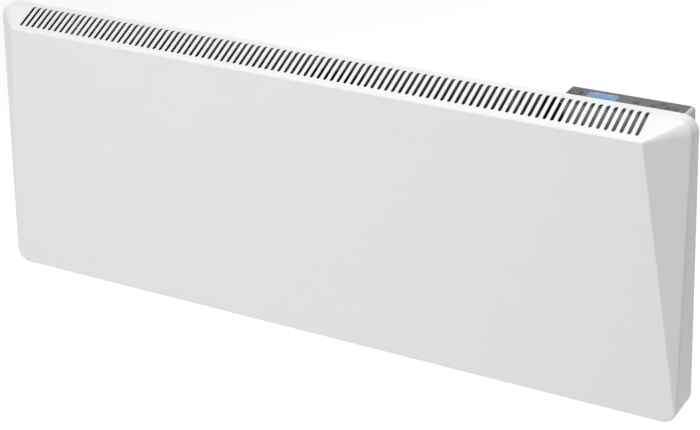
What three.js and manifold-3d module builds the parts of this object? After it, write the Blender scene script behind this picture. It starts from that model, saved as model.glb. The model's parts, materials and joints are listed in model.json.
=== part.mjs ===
// Wall panel convector heater: white folded steel cover with a slotted grille along its top
// edge, a grey control unit behind its top right corner, and a wall bracket that it hangs on.
//
// Millimetres, +Z up. The front faces -Y and the wall is the plane y = 0. The origin lies on
// the wall, behind the middle of the cover, at mid-height of the bracket's upper rail.
//
// The pieces are drawn in the cover's own frame: x = 0 at the middle of the cover, y = 0 at
// its back edge and z = 0 at its bottom edge.

import * as THREE from 'three';
import { ConvexGeometry } from 'three/addons/geometries/ConvexGeometry.js';
import { mergeVertices } from 'three/addons/utils/BufferGeometryUtils.js';
import Module from 'manifold-3d';

const wasm = await Module();
wasm.setup();

// ---------------------------------------------------------------------------
// Driving dimensions
// ---------------------------------------------------------------------------

// Clearances
const touchGap = 0.3; // between faces that rest on each other
const runGap = 0.3; // round a key, a catch or a screw in its hole
const throughCut = 2; // how far a cutting tool runs past the sheet that it cuts
const overlap = 1; // how far two joined forms run into each other

// Front cover
const coverWidth = 1048;
const coverHeight = 400;
const coverSheet = 1.2;
const ridgeDrop = 19; // from the top down to the front edge of the grille
const ridgeDepth = 60.3; // from the back edge to the front edge of the grille
const footDepth = 54.6; // from the back edge to the foot of the front panel
const topFlat = 25; // depth of the level strip behind the sloping grille
const facetInset = 49; // how far the grille's front edge stops short of each side
const cornerRadius = 20;
const shoulderFillet = 8;
const ridgeFillet = 3;
const footFillet = 4;
const rimWidth = 8; // return flange round the open back

// Outlet slots in the cover's top
const slotPitch = 10;
const slotWidth = 4.8;
const slotSideMargin = 59;
const slotRidgeMargin = 8.3;
const slotRearMargin = 13;

// Air inlet in the cover's bottom
const inletSideMargin = 44;
const inletFrontMargin = 8.6;
const inletRearMargin = 20;
const inletOverlap = 4;
const inletPlate = 1.5;
const inletPitch = 20;
const inletBar = 6;
const inletSlotInset = 1; // how far its slots stop short of the cover's opening

// Back panel
const panelSheet = 1;
const panelClearance = 0.8;
const panelFlange = 10;
const ribCount = 3;
const ribPitch = 160;
const ribWidth = 12;
const ribHeight = 3;
const ribLow = 120;
const ribTopDrop = 110;
const catchPassage = 1; // spare room round a catch's tongue
const sealHeight = 5.2;
const sealDepth = 3.6;
const coverScrewCount = 4;
const coverScrewSideMargin = 90;

// Wall bracket
const wallGap = 36; // from the wall to the cover's back edge
const bracketSheet = 2;
const bracketReach = 0.5; // from the cover's back edge back to the bracket's hook plates
const hookLeftMargin = 120.5; // from the cover's left side to the middle of the left hook
const hookRightMargin = 240.5; // from the cover's right side to the middle of the right hook
const hookWidth = 16;
const hookRise = 12;
const hookPlateWidth = 40;
const hookSlack = 1.5; // between the panel and the hook's lip in front of it
const windowDrop = 28; // from the cover's top down to the edge that sits on the hooks
const windowSideGap = 5;
const liftTravel = 13;
const windowSpare = 7;
const spareWindowWidth = 70;
const spareWindowOffset = 85; // from the bracket's middle to the spare window's middle
const plugLip = 5; // of the spare window's plug, round the window
const plugThickness = 1.5;
const railDrop = 32; // from the hooks down to the rail's shelf
const railHeight = 40;
const railOverhang = 27;
const legInset = 43.5; // from each hook in towards the bracket's middle
const legWidth = 36;
const crossRailHeight = 24;
const wallHoleRadius = 3;

// Turning catches at the bracket's feet
const catchHeight = 80;
const catchShaftRadius = 4;
const catchKnobRadius = 9;
const catchKnobDepth = 7;
const catchTongueLength = 34;
const catchTongueWidth = 9;
const catchTongueThickness = 2.5;
const catchSlack = 1.2;
const earDrop = 20;
const earRise = 20;
const driverSlotWidth = 1.6;
const driverSlotDepth = 2;

// Wall spacers on the heater's back
const spacerSideMargin = 54;
const spacerHeight = 45;
const spacerFootRadius = 12;
const spacerTipRadius = 8;
const spacerFootThickness = 3;
const spacerTaper = 3;

// Heat shield
const shieldSheet = 1;
const shieldStandoff = 8;
const shieldLow = 44;
const shieldTopDrop = 55;
const shieldLeftMargin = 84;
const shieldRightMargin = 189;

// Heating element and its supports
const elementHeight = 120; // of its axis, above the cover's bottom
const elementDepth = 32; // of its axis, in front of the cover's back edge
const elementLeftMargin = 104;
const elementRightMargin = 199;
const elementTubeRadius = 7;
const wingSpanUp = 60;
const wingSpanDeep = 26;
const wingThickness = 2;
const supportSheet = 1.5;
const supportHalfHeight = 35;
const supportFoot = 12;
const supportLip = 3; // in front of the element's wings
const capFlangeRadius = 9;
const capFlangeLength = 6;
const capNeckRadius = 6;
const capNeckLength = 6;
const pinRadius = 1.6;
const pinLength = 7;

// Thermal cut-out
const cutoutRadius = 8;
const cutoutDepth = 7;
const cutoutRightMargin = 444; // from the cover's right side
const cutoutHeight = 230;
const bladeWidth = 5;
const bladeThickness = 0.8;
const bladeLength = 8;
const bladeSetback = 1; // behind the cut-out's front face

// Leads, clips and room sensor
const leadRadius = 1.2;
const leadRunGap = 35; // from the housing's underside down to the leads' run
const leadTail = 12; // straight stretch at a terminal
const rightLeadBends = [[15, 0, 0], [40, 10, 40], [60, 16, 100]]; // from the element's cap
const leftLeadBends = [[-12, 0, 0], [-22, 4, 30]];
const leftLeadCorner = [30, -40]; // from the shield's left edge and the run's height
const cutoutLeadIn = [-50, 30]; // from the cut-out's middle
const cutoutLeadOut = [70, -25]; // from the cut-out's middle and the run's height
const cutoutLeadEnd = 20; // left of the shield's right edge
const entryLeadIn = [-50, 4]; // from the grommet's middle and the run's depth
const entryDrops = [12, 5]; // below the housing
const entryRise = 4; // above the housing's floor
const clipSize = 9;
const clipBoreGap = 0.4;
const clipStraight = [-25, -10, 10, 25]; // stops of the straight stretch through a clip
const firstClipOffset = 120; // from the shield's left edge
const nextClipOffsets = [-130, 160]; // from the cut-out's middle
const sensorHeight = 40;
const sensorRadius = 3;
const sensorLength = 18;
const sensorOffset = 30; // right of the grommet's middle
const sensorClipRise = 4;
const sensorLeadRise = 20;
const sensorLeadLean = 4;
const sensorLeadIn = [6, 1, 40]; // right of, behind and below the grommet

// Control unit
const housingLength = 160;
const housingEnd = 5; // of it, right of the fascia
const housingInset = 18; // from the cover's side to the housing's right end
const housingBack = 33; // behind the cover's back edge
const housingFront = 14; // in front of the cover's back edge
const housingHeight = 58;
const housingWall = 2;
const housingEndRadius = 4.5;
const housingLedge = 3;
const housingNotchGap = 3;
const cornerGap = 26; // opening in the panel, left of the housing
const gapSealThickness = 3;
const gapSealWrap = 8; // round the housing's front corner
const fasciaDrop = 4; // from the cover's top down to the fascia's top
const fasciaThickness = 2;
const fasciaFront = 0.5;
const lugLength = 14;
const lugHeight = 14;
const lugThickness = 2;
const housingScrewLength = 6;
const housingSealEnd = 2; // short of the fascia's right end

// Display
const displayStart = 25;
const displayLength = 41;
const displayFront = 6.5;
const displayDepth = 21;
const lensThickness = 1; // of its lip
const lensLip = 1.5;
const moduleHeight = 6;
const moduleMargin = 2.5;
const moduleMarginY = 1;
const moduleFootInset = 2;
const boardThickness = 1.6;
const boardDrop = 11.8;

// Keys
const keyRow = 17;
const keyProud = 0.6;
const keyTravel = 0.8;
const keyLength = 8;
const keyFlange = 1;
const keyFlangeThickness = 1;
const keyStemInset = 1;
const standbyRadius = 6.6;
const standbyMargin = 11.2; // from the fascia's left end
const smallKeyRadius = 3.6;
const menuMargin = 65; // from the fascia's right end
const navMargin = 33;
const navReachX = 9;
const navReachY = 8.5;
const enterMargin = 14;
const matMargin = 3; // between the display and the key mat
const matInset = 1; // from the board's edges

// Power electronics, terminals and cable gland
const powerBoardStart = 8;
const powerBoardMargin = 60; // from the fascia's right end
const powerBoardHeight = 37;
const powerBoardY = -8;
const relaySize = [19, 15, 15];
const relayPlace = [6, 5]; // from the power board's left and lower edges
const supplySize = [30, 19, 22];
const supplyPlace = [27, 5];
const capacitorRadius = 6;
const capacitorLength = 16;
const capacitorPlace = [7, 14]; // from the power board's right and lower edges
const terminalMargin = 55; // from the fascia's right end
const terminalY = 4;
const terminalLength = 26;
const terminalDepth = 18;
const terminalHeight = 14;
const terminalWays = 3;
const wellRadius = 2.4;
const wellDepth = 5;
const glandMargin = 14; // from the fascia's right end
const glandY = 15;
const glandBore = 4.2;
const glandRadius = 6;
const glandNutRadius = 9;
const glandNutLength = 4;
const glandHeadLength = 10;
const glandThreadEnd = 3; // above its nut
const grommetMargin = 51; // from the fascia's right end
const grommetY = -7.2;
const grommetRadius = 4.6;
const grommetFlange = 1;
const grommetFlangeThickness = 1.2;
const grommetRise = 0.5; // above the housing's floor
const grommetBore = 3.4;
const leadCircle = 1.7;

// Screws
const screwRadius = 1.8;
const screwHeadRadius = 3.6;
const screwHeadHeight = 1.8;
const screwLength = 8;

// Facets
const ballSegments = 12;
const cornerSteps = 5;
const slotEndSteps = 3;
const roundSides = 12;
const leadSides = 6;

// ---------------------------------------------------------------------------
// Places that follow from the sizes
// ---------------------------------------------------------------------------

const halfWidth = coverWidth / 2;
const ridgeHeight = coverHeight - ridgeDrop;
const ceiling = coverHeight - coverSheet; // underside of the cover's top
const panelBack = -coverSheet - panelClearance;
const panelFront = panelBack - panelSheet;
const panelSide = halfWidth - coverSheet - panelClearance;
const panelLow = coverSheet + panelClearance;
const panelTop = ceiling - sealHeight - 2 * touchGap;
const windowTop = coverHeight - windowDrop;
const windowLow = windowTop - bracketSheet - liftTravel - windowSpare;
const hookTop = windowTop - touchGap;
const railTop = windowTop - railDrop;
const railMiddle = railTop - railHeight / 2;
const earLow = catchHeight - earDrop;
const wallFace = wallGap;
const hookPlateFront = bracketReach;
const shieldBack = panelFront - shieldStandoff;
const shieldFront = shieldBack - shieldSheet;
const shieldLeft = -halfWidth + shieldLeftMargin;
const shieldRight = halfWidth - shieldRightMargin;
const elementLeft = -halfWidth + elementLeftMargin;
const elementRight = halfWidth - elementRightMargin;
const cutoutX = halfWidth - cutoutRightMargin;
const housingRight = halfWidth - housingInset;
const housingLeft = housingRight - housingLength;
const fasciaLength = housingLength - housingEnd;
const terminalX = fasciaLength - terminalMargin;
const glandX = fasciaLength - glandMargin;
const grommetX = fasciaLength - grommetMargin;
const fasciaTop = coverHeight - fasciaDrop;
const housingLow = -housingHeight;
const leadRunHeight = fasciaTop - housingHeight - leadRunGap;
const housingTop = -fasciaThickness - touchGap;
const hookXs = [hookLeftMargin - halfWidth, halfWidth - hookRightMargin];
const legXs = [hookXs[0] + legInset, hookXs[1] - legInset];
const bracketMiddle = (hookXs[0] + hookXs[1]) / 2;
const spareX = bracketMiddle + spareWindowOffset;
const spareHalf = spareWindowWidth / 2;

// ---------------------------------------------------------------------------
// Finishes
// ---------------------------------------------------------------------------

function finish(color, roughness, metalness) {
  return { color, roughness, metalness };
}

const whitePaint = finish(0xf1f1ef, 0.35, 0);
const zincSteel = finish(0x9a9c9e, 0.45, 0.8);
const bracketSteel = finish(0xb4b6b8, 0.5, 0.6);
const foamRubber = finish(0x141414, 0.95, 0);
const elementAlloy = finish(0xb9bbbd, 0.4, 0.9);
const whiteCeramic = finish(0xe9e6dc, 0.5, 0);
const blackPlastic = finish(0x1c1d1e, 0.5, 0);
const paleGreyPlastic = finish(0xc9cbcc, 0.4, 0);
const midGreyPlastic = finish(0x6f7173, 0.4, 0);
const keyGreyPlastic = finish(0x77797b, 0.45, 0);
const greenBoard = finish(0x1f5a38, 0.5, 0);
const blueDisplay = finish(0x5b8fd6, 0.2, 0);
const clearPlastic = finish(0x9fc0ea, 0.1, 0);
const siliconeRubber = finish(0x3c3e40, 0.8, 0);
const leadRed = finish(0x8a2a22, 0.6, 0);
const leadBlue = finish(0x2a4a86, 0.6, 0);
const leadGrey = finish(0x8b8d8f, 0.6, 0);
const steelScrew = finish(0xc3c5c7, 0.35, 0.9);

// ---------------------------------------------------------------------------
// Solids
// ---------------------------------------------------------------------------

function toSolid(geometry) {
  const bare = geometry.clone();
  bare.deleteAttribute('normal');
  bare.deleteAttribute('uv');
  const welded = mergeVertices(bare);
  return new wasm.Manifold(new wasm.Mesh({
    numProp: 3,
    vertProperties: Float32Array.from(welded.attributes.position.array),
    triVerts: Uint32Array.from(welded.index.array),
  }));
}

function toGeometry(solid) {
  const mesh = solid.getMesh();
  const geometry = new THREE.BufferGeometry();
  geometry.setAttribute('position', new THREE.BufferAttribute(mesh.vertProperties, 3));
  geometry.setIndex(new THREE.BufferAttribute(mesh.triVerts, 1));
  geometry.computeVertexNormals();
  return geometry;
}

// Joins the first list of geometries, then cuts the second list out of them.
function build(joined, cuts = []) {
  const body = joined.map(toSolid).reduce((sum, solid) => sum.add(solid));
  const rest = cuts.map(toSolid).reduce((left, tool) => left.subtract(tool), body);
  return toGeometry(rest);
}

// A block between two limits along each axis.
function block([x0, x1], [y0, y1], [z0, z1]) {
  const geometry = new THREE.BoxGeometry(x1 - x0, y1 - y0, z1 - z0);
  return geometry.translate((x0 + x1) / 2, (y0 + y1) / 2, (z0 + z1) / 2);
}

// A round bar along an axis, between two limits on it, through a point.
function bar(axis, [from, to], radius, [x, y, z], sides = roundSides) {
  const geometry = new THREE.CylinderGeometry(radius, radius, to - from, sides);
  if (axis === 'x') {
    geometry.rotateZ(-Math.PI / 2).translate((from + to) / 2, y, z);
  } else if (axis === 'y') {
    geometry.translate(x, (from + to) / 2, z);
  } else {
    geometry.rotateX(Math.PI / 2).translate(x, y, (from + to) / 2);
  }
  return geometry;
}

// An upright outline, drawn in x and z, that fills the space between two values of y.
function slab(shape, [front, back]) {
  const geometry = new THREE.ExtrudeGeometry(shape, {
    depth: back - front,
    bevelEnabled: false,
    curveSegments: cornerSteps,
  });
  return geometry.rotateX(Math.PI / 2).translate(0, back, 0);
}

// A level outline, drawn in x and y, that fills the space between two values of z.
function tile(shapes, [low, high], steps) {
  const geometry = new THREE.ExtrudeGeometry(shapes, {
    depth: high - low,
    bevelEnabled: false,
    curveSegments: steps,
  });
  return geometry.translate(0, 0, low);
}

// A profile of [radius, height] pairs turned about the z axis.
function turned(profile, sides = roundSides) {
  const points = profile.map(([radius, height]) => new THREE.Vector2(radius, height));
  return new THREE.LatheGeometry(points, sides).rotateX(Math.PI / 2);
}

function roundedRectangle([x0, x1], [z0, z1], radius) {
  const shape = new THREE.Shape();
  shape.moveTo(x0 + radius, z0);
  shape.lineTo(x1 - radius, z0);
  shape.absarc(x1 - radius, z0 + radius, radius, -Math.PI / 2, 0);
  shape.lineTo(x1, z1 - radius);
  shape.absarc(x1 - radius, z1 - radius, radius, 0, Math.PI / 2);
  shape.lineTo(x0 + radius, z1);
  shape.absarc(x0 + radius, z1 - radius, radius, Math.PI / 2, Math.PI);
  shape.lineTo(x0, z0 + radius);
  shape.absarc(x0 + radius, z0 + radius, radius, Math.PI, 1.5 * Math.PI);
  return shape;
}

// A slot that runs from front to back, with half-round ends.
function slotOutline(x, [front, back], width) {
  const radius = width / 2;
  const shape = new THREE.Shape();
  shape.moveTo(x + radius, front + radius);
  shape.lineTo(x + radius, back - radius);
  shape.absarc(x, back - radius, radius, 0, Math.PI);
  shape.lineTo(x - radius, front + radius);
  shape.absarc(x, front + radius, radius, Math.PI, 2 * Math.PI);
  return shape;
}

// ---------------------------------------------------------------------------
// Front cover and air inlet
// ---------------------------------------------------------------------------

function addBall(points, centre, radius) {
  const ball = new THREE.SphereGeometry(radius, ballSegments, ballSegments / 2);
  ball.rotateX(Math.PI / 2).translate(...centre);
  const position = ball.attributes.position;
  for (let i = 0; i < position.count; i += 1) {
    points.push(new THREE.Vector3().fromBufferAttribute(position, i));
  }
}

// The cover's outer form, or with an inset the form of its hollow. It is the skin stretched
// over balls at the ridge's ends and along the rounded corners, and over a flat back.
function coverForm(inset, back) {
  const points = [];
  const slope = Math.atan2(ridgeDrop, ridgeDepth - topFlat);
  const ridgeZ = ridgeHeight - (ridgeFillet * (1 - Math.sin(slope))) / Math.cos(slope);
  const cornerTop = coverHeight - cornerRadius;
  for (const side of [-1, 1]) {
    const ridgeX = side * (halfWidth - facetInset);
    const cornerX = side * (halfWidth - cornerRadius);
    addBall(points, [ridgeX, ridgeFillet - ridgeDepth, ridgeZ], ridgeFillet - inset);
    for (let step = 0; step <= cornerSteps; step += 1) {
      const angle = (step / cornerSteps) * (Math.PI / 2);
      const across = side * Math.cos(angle);
      const up = Math.sin(angle);
      const shoulder = cornerRadius - shoulderFillet;
      const shoulderCentre = [
        cornerX + shoulder * across,
        shoulderFillet - topFlat,
        cornerTop + shoulder * up,
      ];
      addBall(points, shoulderCentre, shoulderFillet - inset);
      const foot = cornerRadius - footFillet;
      const footCentre = [
        cornerX + foot * across,
        footFillet - footDepth,
        cornerRadius - foot * up,
      ];
      addBall(points, footCentre, footFillet - inset);
      const rim = cornerRadius - inset;
      points.push(new THREE.Vector3(cornerX + rim * across, back, cornerTop + rim * up));
      points.push(new THREE.Vector3(cornerX + rim * across, back, cornerRadius - rim * up));
    }
  }
  return new ConvexGeometry(points);
}

function outletSlots() {
  const front = slotRidgeMargin - ridgeDepth;
  const back = -slotRearMargin;
  const run = coverWidth - 2 * slotSideMargin;
  const count = Math.floor(run / slotPitch) + 1;
  const first = (-(count - 1) * slotPitch) / 2;
  const outlines = [];
  for (let i = 0; i < count; i += 1) {
    outlines.push(slotOutline(first + i * slotPitch, [front, back], slotWidth));
  }
  const low = ridgeHeight - coverSheet - throughCut;
  return tile(outlines, [low, coverHeight + throughCut], slotEndSteps);
}

function coverScrewXs() {
  const run = coverWidth - 2 * coverScrewSideMargin;
  const xs = [];
  for (let i = 0; i < coverScrewCount; i += 1) {
    xs.push((i / (coverScrewCount - 1) - 0.5) * run);
  }
  return xs;
}

const coverScrewY = panelFront - panelFlange / 2;
const inletX = halfWidth - inletSideMargin;
const inletY = [inletFrontMargin - footDepth, -inletRearMargin];

function frontCover() {
  const rimEdge = coverSheet + rimWidth;
  const rimOutline = roundedRectangle(
    [rimEdge - halfWidth, halfWidth - rimEdge],
    [rimEdge, coverHeight - rimEdge],
    cornerRadius - rimEdge,
  );
  const housingPass = block(
    [housingLeft - housingNotchGap, housingRight + touchGap],
    [-coverSheet - throughCut, throughCut],
    [ceiling - cornerRadius, ceiling],
  );
  const cuts = [
    coverForm(coverSheet, -coverSheet),
    slab(rimOutline, [-coverSheet - throughCut, throughCut]),
    housingPass,
    outletSlots(),
    block([-inletX, inletX], inletY, [-throughCut, coverSheet + throughCut]),
    ...coverScrewXs().map((x) => bar(
      'z',
      [-throughCut, coverSheet + throughCut],
      screwRadius + runGap,
      [x, coverScrewY, 0],
    )),
  ];
  return build([coverForm(0, 0)], cuts);
}

function inletGrille() {
  const low = coverSheet + touchGap;
  const high = low + inletPlate;
  const reach = inletX + inletOverlap;
  const [front, back] = inletY;
  const plate = block([-reach, reach], [front - inletOverlap, back + inletOverlap], [low, high]);
  const count = Math.floor((2 * inletX) / inletPitch);
  const half = (inletPitch - inletBar) / 2;
  const slotY = [front + inletSlotInset, back - inletSlotInset];
  const cuts = [];
  for (let i = 0; i < count; i += 1) {
    const x = (i - (count - 1) / 2) * inletPitch;
    cuts.push(block([x - half, x + half], slotY, [low - throughCut, high + throughCut]));
  }
  return build([plate], cuts);
}

// ---------------------------------------------------------------------------
// Back panel, seals and spacers
// ---------------------------------------------------------------------------

function panelOutline(inset, top) {
  return roundedRectangle(
    [inset - panelSide, panelSide - inset],
    [panelLow + inset, top],
    cornerRadius - coverSheet - panelClearance - inset,
  );
}

function backPanel() {
  const plate = slab(panelOutline(0, panelTop), [panelFront, panelBack]);
  const flange = build(
    [slab(panelOutline(0, panelTop), [panelFront - panelFlange, panelFront + panelSheet / 2])],
    [
      slab(
        panelOutline(panelSheet, panelTop + cornerRadius),
        [panelFront - panelFlange - throughCut, panelFront + throughCut],
      ),
    ],
  );
  const sheetCut = [panelFront - throughCut, panelBack + throughCut];
  const flangeCut = [panelFront - panelFlange - throughCut, panelFront];
  const topTrim = block(
    [-panelSide - throughCut, panelSide + throughCut],
    flangeCut,
    [panelTop - cornerRadius, panelTop + throughCut],
  );
  const housingHole = block(
    [housingLeft - cornerGap, housingRight + housingNotchGap],
    sheetCut,
    [fasciaTop + housingLow - housingNotchGap, panelTop + throughCut],
  );
  const hookHalf = hookWidth / 2 + windowSideGap;
  const tongueHalf = catchTongueWidth / 2 + catchPassage;
  const tongueReach = catchTongueLength / 2 + catchPassage;
  const ribs = [];
  const ribHollows = [];
  const ribHalf = ribWidth / 2;
  const ribY = [panelBack - panelSheet / 2, panelBack + ribHeight];
  const ribZ = [ribLow, coverHeight - ribTopDrop];
  for (let i = 0; i < ribCount; i += 1) {
    const x = bracketMiddle + (i - (ribCount - 1) / 2) * ribPitch;
    ribs.push(block([x - ribHalf, x + ribHalf], ribY, ribZ));
    ribHollows.push(block(
      [x - ribHalf + panelSheet, x + ribHalf - panelSheet],
      [panelFront - throughCut, ribY[1] - panelSheet],
      [ribZ[0] + panelSheet, ribZ[1] - panelSheet],
    ));
  }
  const cuts = [
    topTrim,
    housingHole,
    ...hookXs.map((x) => block([x - hookHalf, x + hookHalf], sheetCut, [windowLow, windowTop])),
    block([spareX - spareHalf, spareX + spareHalf], sheetCut, [windowLow, windowTop]),
    ...legXs.map((x) => block(
      [x - tongueHalf, x + tongueHalf],
      sheetCut,
      [catchHeight - tongueReach - liftTravel, catchHeight + tongueReach],
    )),
    ...ribHollows,
    ...coverScrewXs().map((x) => bar(
      'z',
      [panelLow - throughCut, panelLow + throughCut + panelSheet],
      screwRadius + runGap,
      [x, coverScrewY, 0],
    )),
    ...lugXs().map((x) => bar('y', sheetCut, screwRadius + runGap, [x, 0, lugMiddle])),
  ];
  return build([plate, flange, ...ribs], cuts);
}

const lugMiddle = fasciaTop + housingLow - lugHeight / 2;

function lugXs() {
  return [housingLeft + lugLength, housingRight - lugLength];
}

// The plug that snaps into the spare window from the front
function windowPlug() {
  const seat = panelFront - touchGap;
  const face = seat - plugThickness;
  const lip = block(
    [spareX - spareHalf - plugLip, spareX + spareHalf + plugLip],
    [face, seat],
    [windowLow - plugLip, windowTop + plugLip],
  );
  const boss = block(
    [spareX - spareHalf + touchGap, spareX + spareHalf - touchGap],
    [(face + seat) / 2, panelBack],
    [windowLow + touchGap, windowTop - touchGap],
  );
  return build([lip, boss]);
}

function topSeal() {
  const right = housingLeft - touchGap;
  const left = -halfWidth + cornerRadius;
  const back = -coverSheet - touchGap;
  return block([left, right], [back - sealDepth, back], [panelTop + touchGap, ceiling - touchGap]);
}

// The foam that closes the panel's open corner and wraps the housing's front edge
function gapSeal() {
  const left = housingLeft - cornerGap + touchGap;
  const right = housingLeft - touchGap;
  const back = -coverSheet - touchGap;
  const front = -housingFront - touchGap - gapSealThickness;
  const height = [windowLow, panelTop];
  return build([
    block([left, right], [back - sealDepth, back], height),
    block([right - gapSealThickness, right], [front, back], height),
    block([right - gapSealThickness, right + gapSealWrap], [front, front + gapSealThickness], height),
  ]);
}

function wallSpacer() {
  const length = wallFace - panelBack - 2 * touchGap;
  return turned([
    [0, 0],
    [spacerFootRadius, 0],
    [spacerFootRadius, spacerFootThickness],
    [spacerTipRadius, spacerFootThickness + spacerTaper],
    [spacerTipRadius, length],
    [0, length],
  ]).rotateX(-Math.PI / 2);
}

// ---------------------------------------------------------------------------
// Wall bracket and catches
// ---------------------------------------------------------------------------

function wallBracket() {
  const wallSheet = [wallFace - bracketSheet, wallFace];
  const shelfDepth = [hookPlateFront, wallFace];
  const hookPlate = [hookPlateFront, hookPlateFront + bracketSheet];
  const railX = [hookXs[0] - railOverhang, hookXs[1] + railOverhang];
  const legX = [legXs[0] - legWidth / 2, legXs[1] + legWidth / 2];
  const joined = [
    block(railX, wallSheet, [railTop - railHeight, railTop]),
    block(railX, shelfDepth, [railTop - bracketSheet, railTop]),
    block(legX, wallSheet, [earLow, earLow + crossRailHeight]),
  ];
  const cuts = [];
  const wallCut = [wallSheet[0] - throughCut, wallFace + throughCut];
  const lipBack = panelFront - hookSlack;
  for (const x of hookXs) {
    const plateX = [x - hookPlateWidth / 2, x + hookPlateWidth / 2];
    const hookX = [x - hookWidth / 2, x + hookWidth / 2];
    const lip = [lipBack - bracketSheet, lipBack];
    joined.push(block(plateX, hookPlate, [railTop - bracketSheet, hookTop]));
    joined.push(block(hookX, [lip[0], hookPlate[1]], [hookTop - bracketSheet, hookTop]));
    joined.push(block(hookX, lip, [hookTop - bracketSheet, hookTop + hookRise]));
    const holeX = x + Math.sign(bracketMiddle - x) * hookPlateWidth;
    cuts.push(bar('y', wallCut, wallHoleRadius, [holeX, 0, railMiddle]));
  }
  for (const x of legXs) {
    const earX = [x - legWidth / 2, x + legWidth / 2];
    joined.push(block(earX, wallSheet, [earLow, railMiddle]));
    joined.push(block(earX, shelfDepth, [earLow, earLow + bracketSheet]));
    joined.push(block(earX, hookPlate, [earLow, catchHeight + earRise]));
    cuts.push(bar(
      'y',
      [hookPlate[0] - throughCut, hookPlate[1] + throughCut],
      catchShaftRadius + runGap,
      [x, 0, catchHeight],
    ));
    const holeZ = earLow + 2 * crossRailHeight;
    cuts.push(bar('y', wallCut, wallHoleRadius, [x, 0, holeZ]));
  }
  return build(joined, cuts);
}

// Drawn about its own axis: y = 0 at the front face of the bracket's ear.
function turningCatch() {
  const tongueBack = panelFront - catchSlack - hookPlateFront;
  const tongueFront = tongueBack - catchTongueThickness;
  const knobFront = bracketSheet + runGap;
  const knobBack = knobFront + catchKnobDepth;
  const reach = catchTongueLength / 2;
  const half = catchTongueWidth / 2;
  const tongue = slab(
    roundedRectangle([-reach, reach], [-half, half], catchTongueWidth / 3),
    [tongueFront, tongueBack],
  );
  const knob = bar('y', [knobFront, knobBack], catchKnobRadius, [0, 0, 0]);
  const shaftEnds = [tongueFront + overlap, knobFront + overlap];
  const shaft = bar('y', shaftEnds, catchShaftRadius, [0, 0, 0]);
  const driverSlot = block(
    [-catchKnobRadius - throughCut, catchKnobRadius + throughCut],
    [knobBack - driverSlotDepth, knobBack + throughCut],
    [-driverSlotWidth / 2, driverSlotWidth / 2],
  );
  return build([tongue, knob, shaft], [driverSlot]);
}

// ---------------------------------------------------------------------------
// Heat shield, element and thermal cut-out
// ---------------------------------------------------------------------------

function heatShield() {
  const x = [shieldLeft, shieldRight];
  const top = coverHeight - shieldTopDrop;
  const flange = [shieldFront, panelFront - touchGap];
  return build([
    block(x, [shieldFront, shieldBack], [shieldLow, top]),
    block(x, flange, [shieldLow, shieldLow + shieldSheet]),
    block(x, flange, [top - shieldSheet, top]),
  ]);
}

// Drawn about its axis: an extruded bar with a round core and four broad wings.
function heatingElement() {
  const length = elementRight - elementLeft;
  const diagonal = Math.hypot(wingSpanUp, wingSpanDeep);
  const lean = Math.atan2(wingSpanDeep, wingSpanUp);
  const wings = [-1, 1].map((side) => block(
    [0, length],
    [-wingThickness / 2, wingThickness / 2],
    [-diagonal / 2, diagonal / 2],
  ).rotateX(side * lean));
  return build([bar('x', [0, length], elementTubeRadius, [0, 0, 0]), ...wings]);
}

// Drawn about the element's axis, with x = 0 at the element's end.
function elementCap() {
  return turned([
    [0, touchGap],
    [capFlangeRadius, touchGap],
    [capFlangeRadius, touchGap + capFlangeLength],
    [capNeckRadius, touchGap + capFlangeLength],
    [capNeckRadius, touchGap + capFlangeLength + capNeckLength],
    [pinRadius, touchGap + capFlangeLength + capNeckLength],
    [pinRadius, touchGap + capFlangeLength + capNeckLength + pinLength],
    [0, touchGap + capFlangeLength + capNeckLength + pinLength],
  ]).rotateY(Math.PI / 2);
}

// Drawn about the element's axis, with x = 0 at the support's inner face.
function elementSupport() {
  const foot = shieldFront - touchGap + elementDepth;
  const front = -wingSpanDeep / 2 - supportLip;
  const height = [-supportHalfHeight, supportHalfHeight];
  return build(
    [
      block([0, supportSheet], [front, foot], height),
      block([0, supportFoot], [foot - supportSheet, foot], height),
    ],
    [bar('x', [-throughCut, supportSheet + throughCut], capNeckRadius + runGap, [0, 0, 0])],
  );
}

const cutoutFront = shieldFront - touchGap - cutoutDepth;
const bladeY = cutoutFront + bladeSetback + bladeThickness / 2;

function thermalCutout() {
  const back = shieldFront - touchGap;
  const body = bar('y', [cutoutFront, back], cutoutRadius, [cutoutX, 0, cutoutHeight]);
  const blades = [-1, 1].map((side) => {
    const tip = cutoutX + side * (cutoutRadius + bladeLength);
    const root = cutoutX + side * (cutoutRadius - overlap);
    return block(
      [Math.min(tip, root), Math.max(tip, root)],
      [bladeY - bladeThickness / 2, bladeY + bladeThickness / 2],
      [cutoutHeight - bladeWidth / 2, cutoutHeight + bladeWidth / 2],
    );
  });
  return build([body, ...blades]);
}

// ---------------------------------------------------------------------------
// Leads, clips and room sensor
// ---------------------------------------------------------------------------

function lead(stops, steps) {
  const curve = new THREE.CatmullRomCurve3(
    stops.map((stop) => new THREE.Vector3(...stop)),
    false,
    'centripetal',
  );
  const section = new THREE.Shape();
  for (let i = 0; i < leadSides; i += 1) {
    const angle = (i / leadSides) * 2 * Math.PI;
    const x = leadRadius * Math.cos(angle);
    const y = leadRadius * Math.sin(angle);
    if (i === 0) {
      section.moveTo(x, y);
    } else {
      section.lineTo(x, y);
    }
  }
  return new THREE.ExtrudeGeometry(section, { extrudePath: curve, steps, bevelEnabled: false });
}

const capReach = touchGap + capFlangeLength + capNeckLength + pinLength;
const elementY = -elementDepth;
const runY = shieldFront - touchGap - clipSize / 2;
const entryX = housingLeft + grommetX;
const entryLow = fasciaTop + housingLow;

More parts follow.
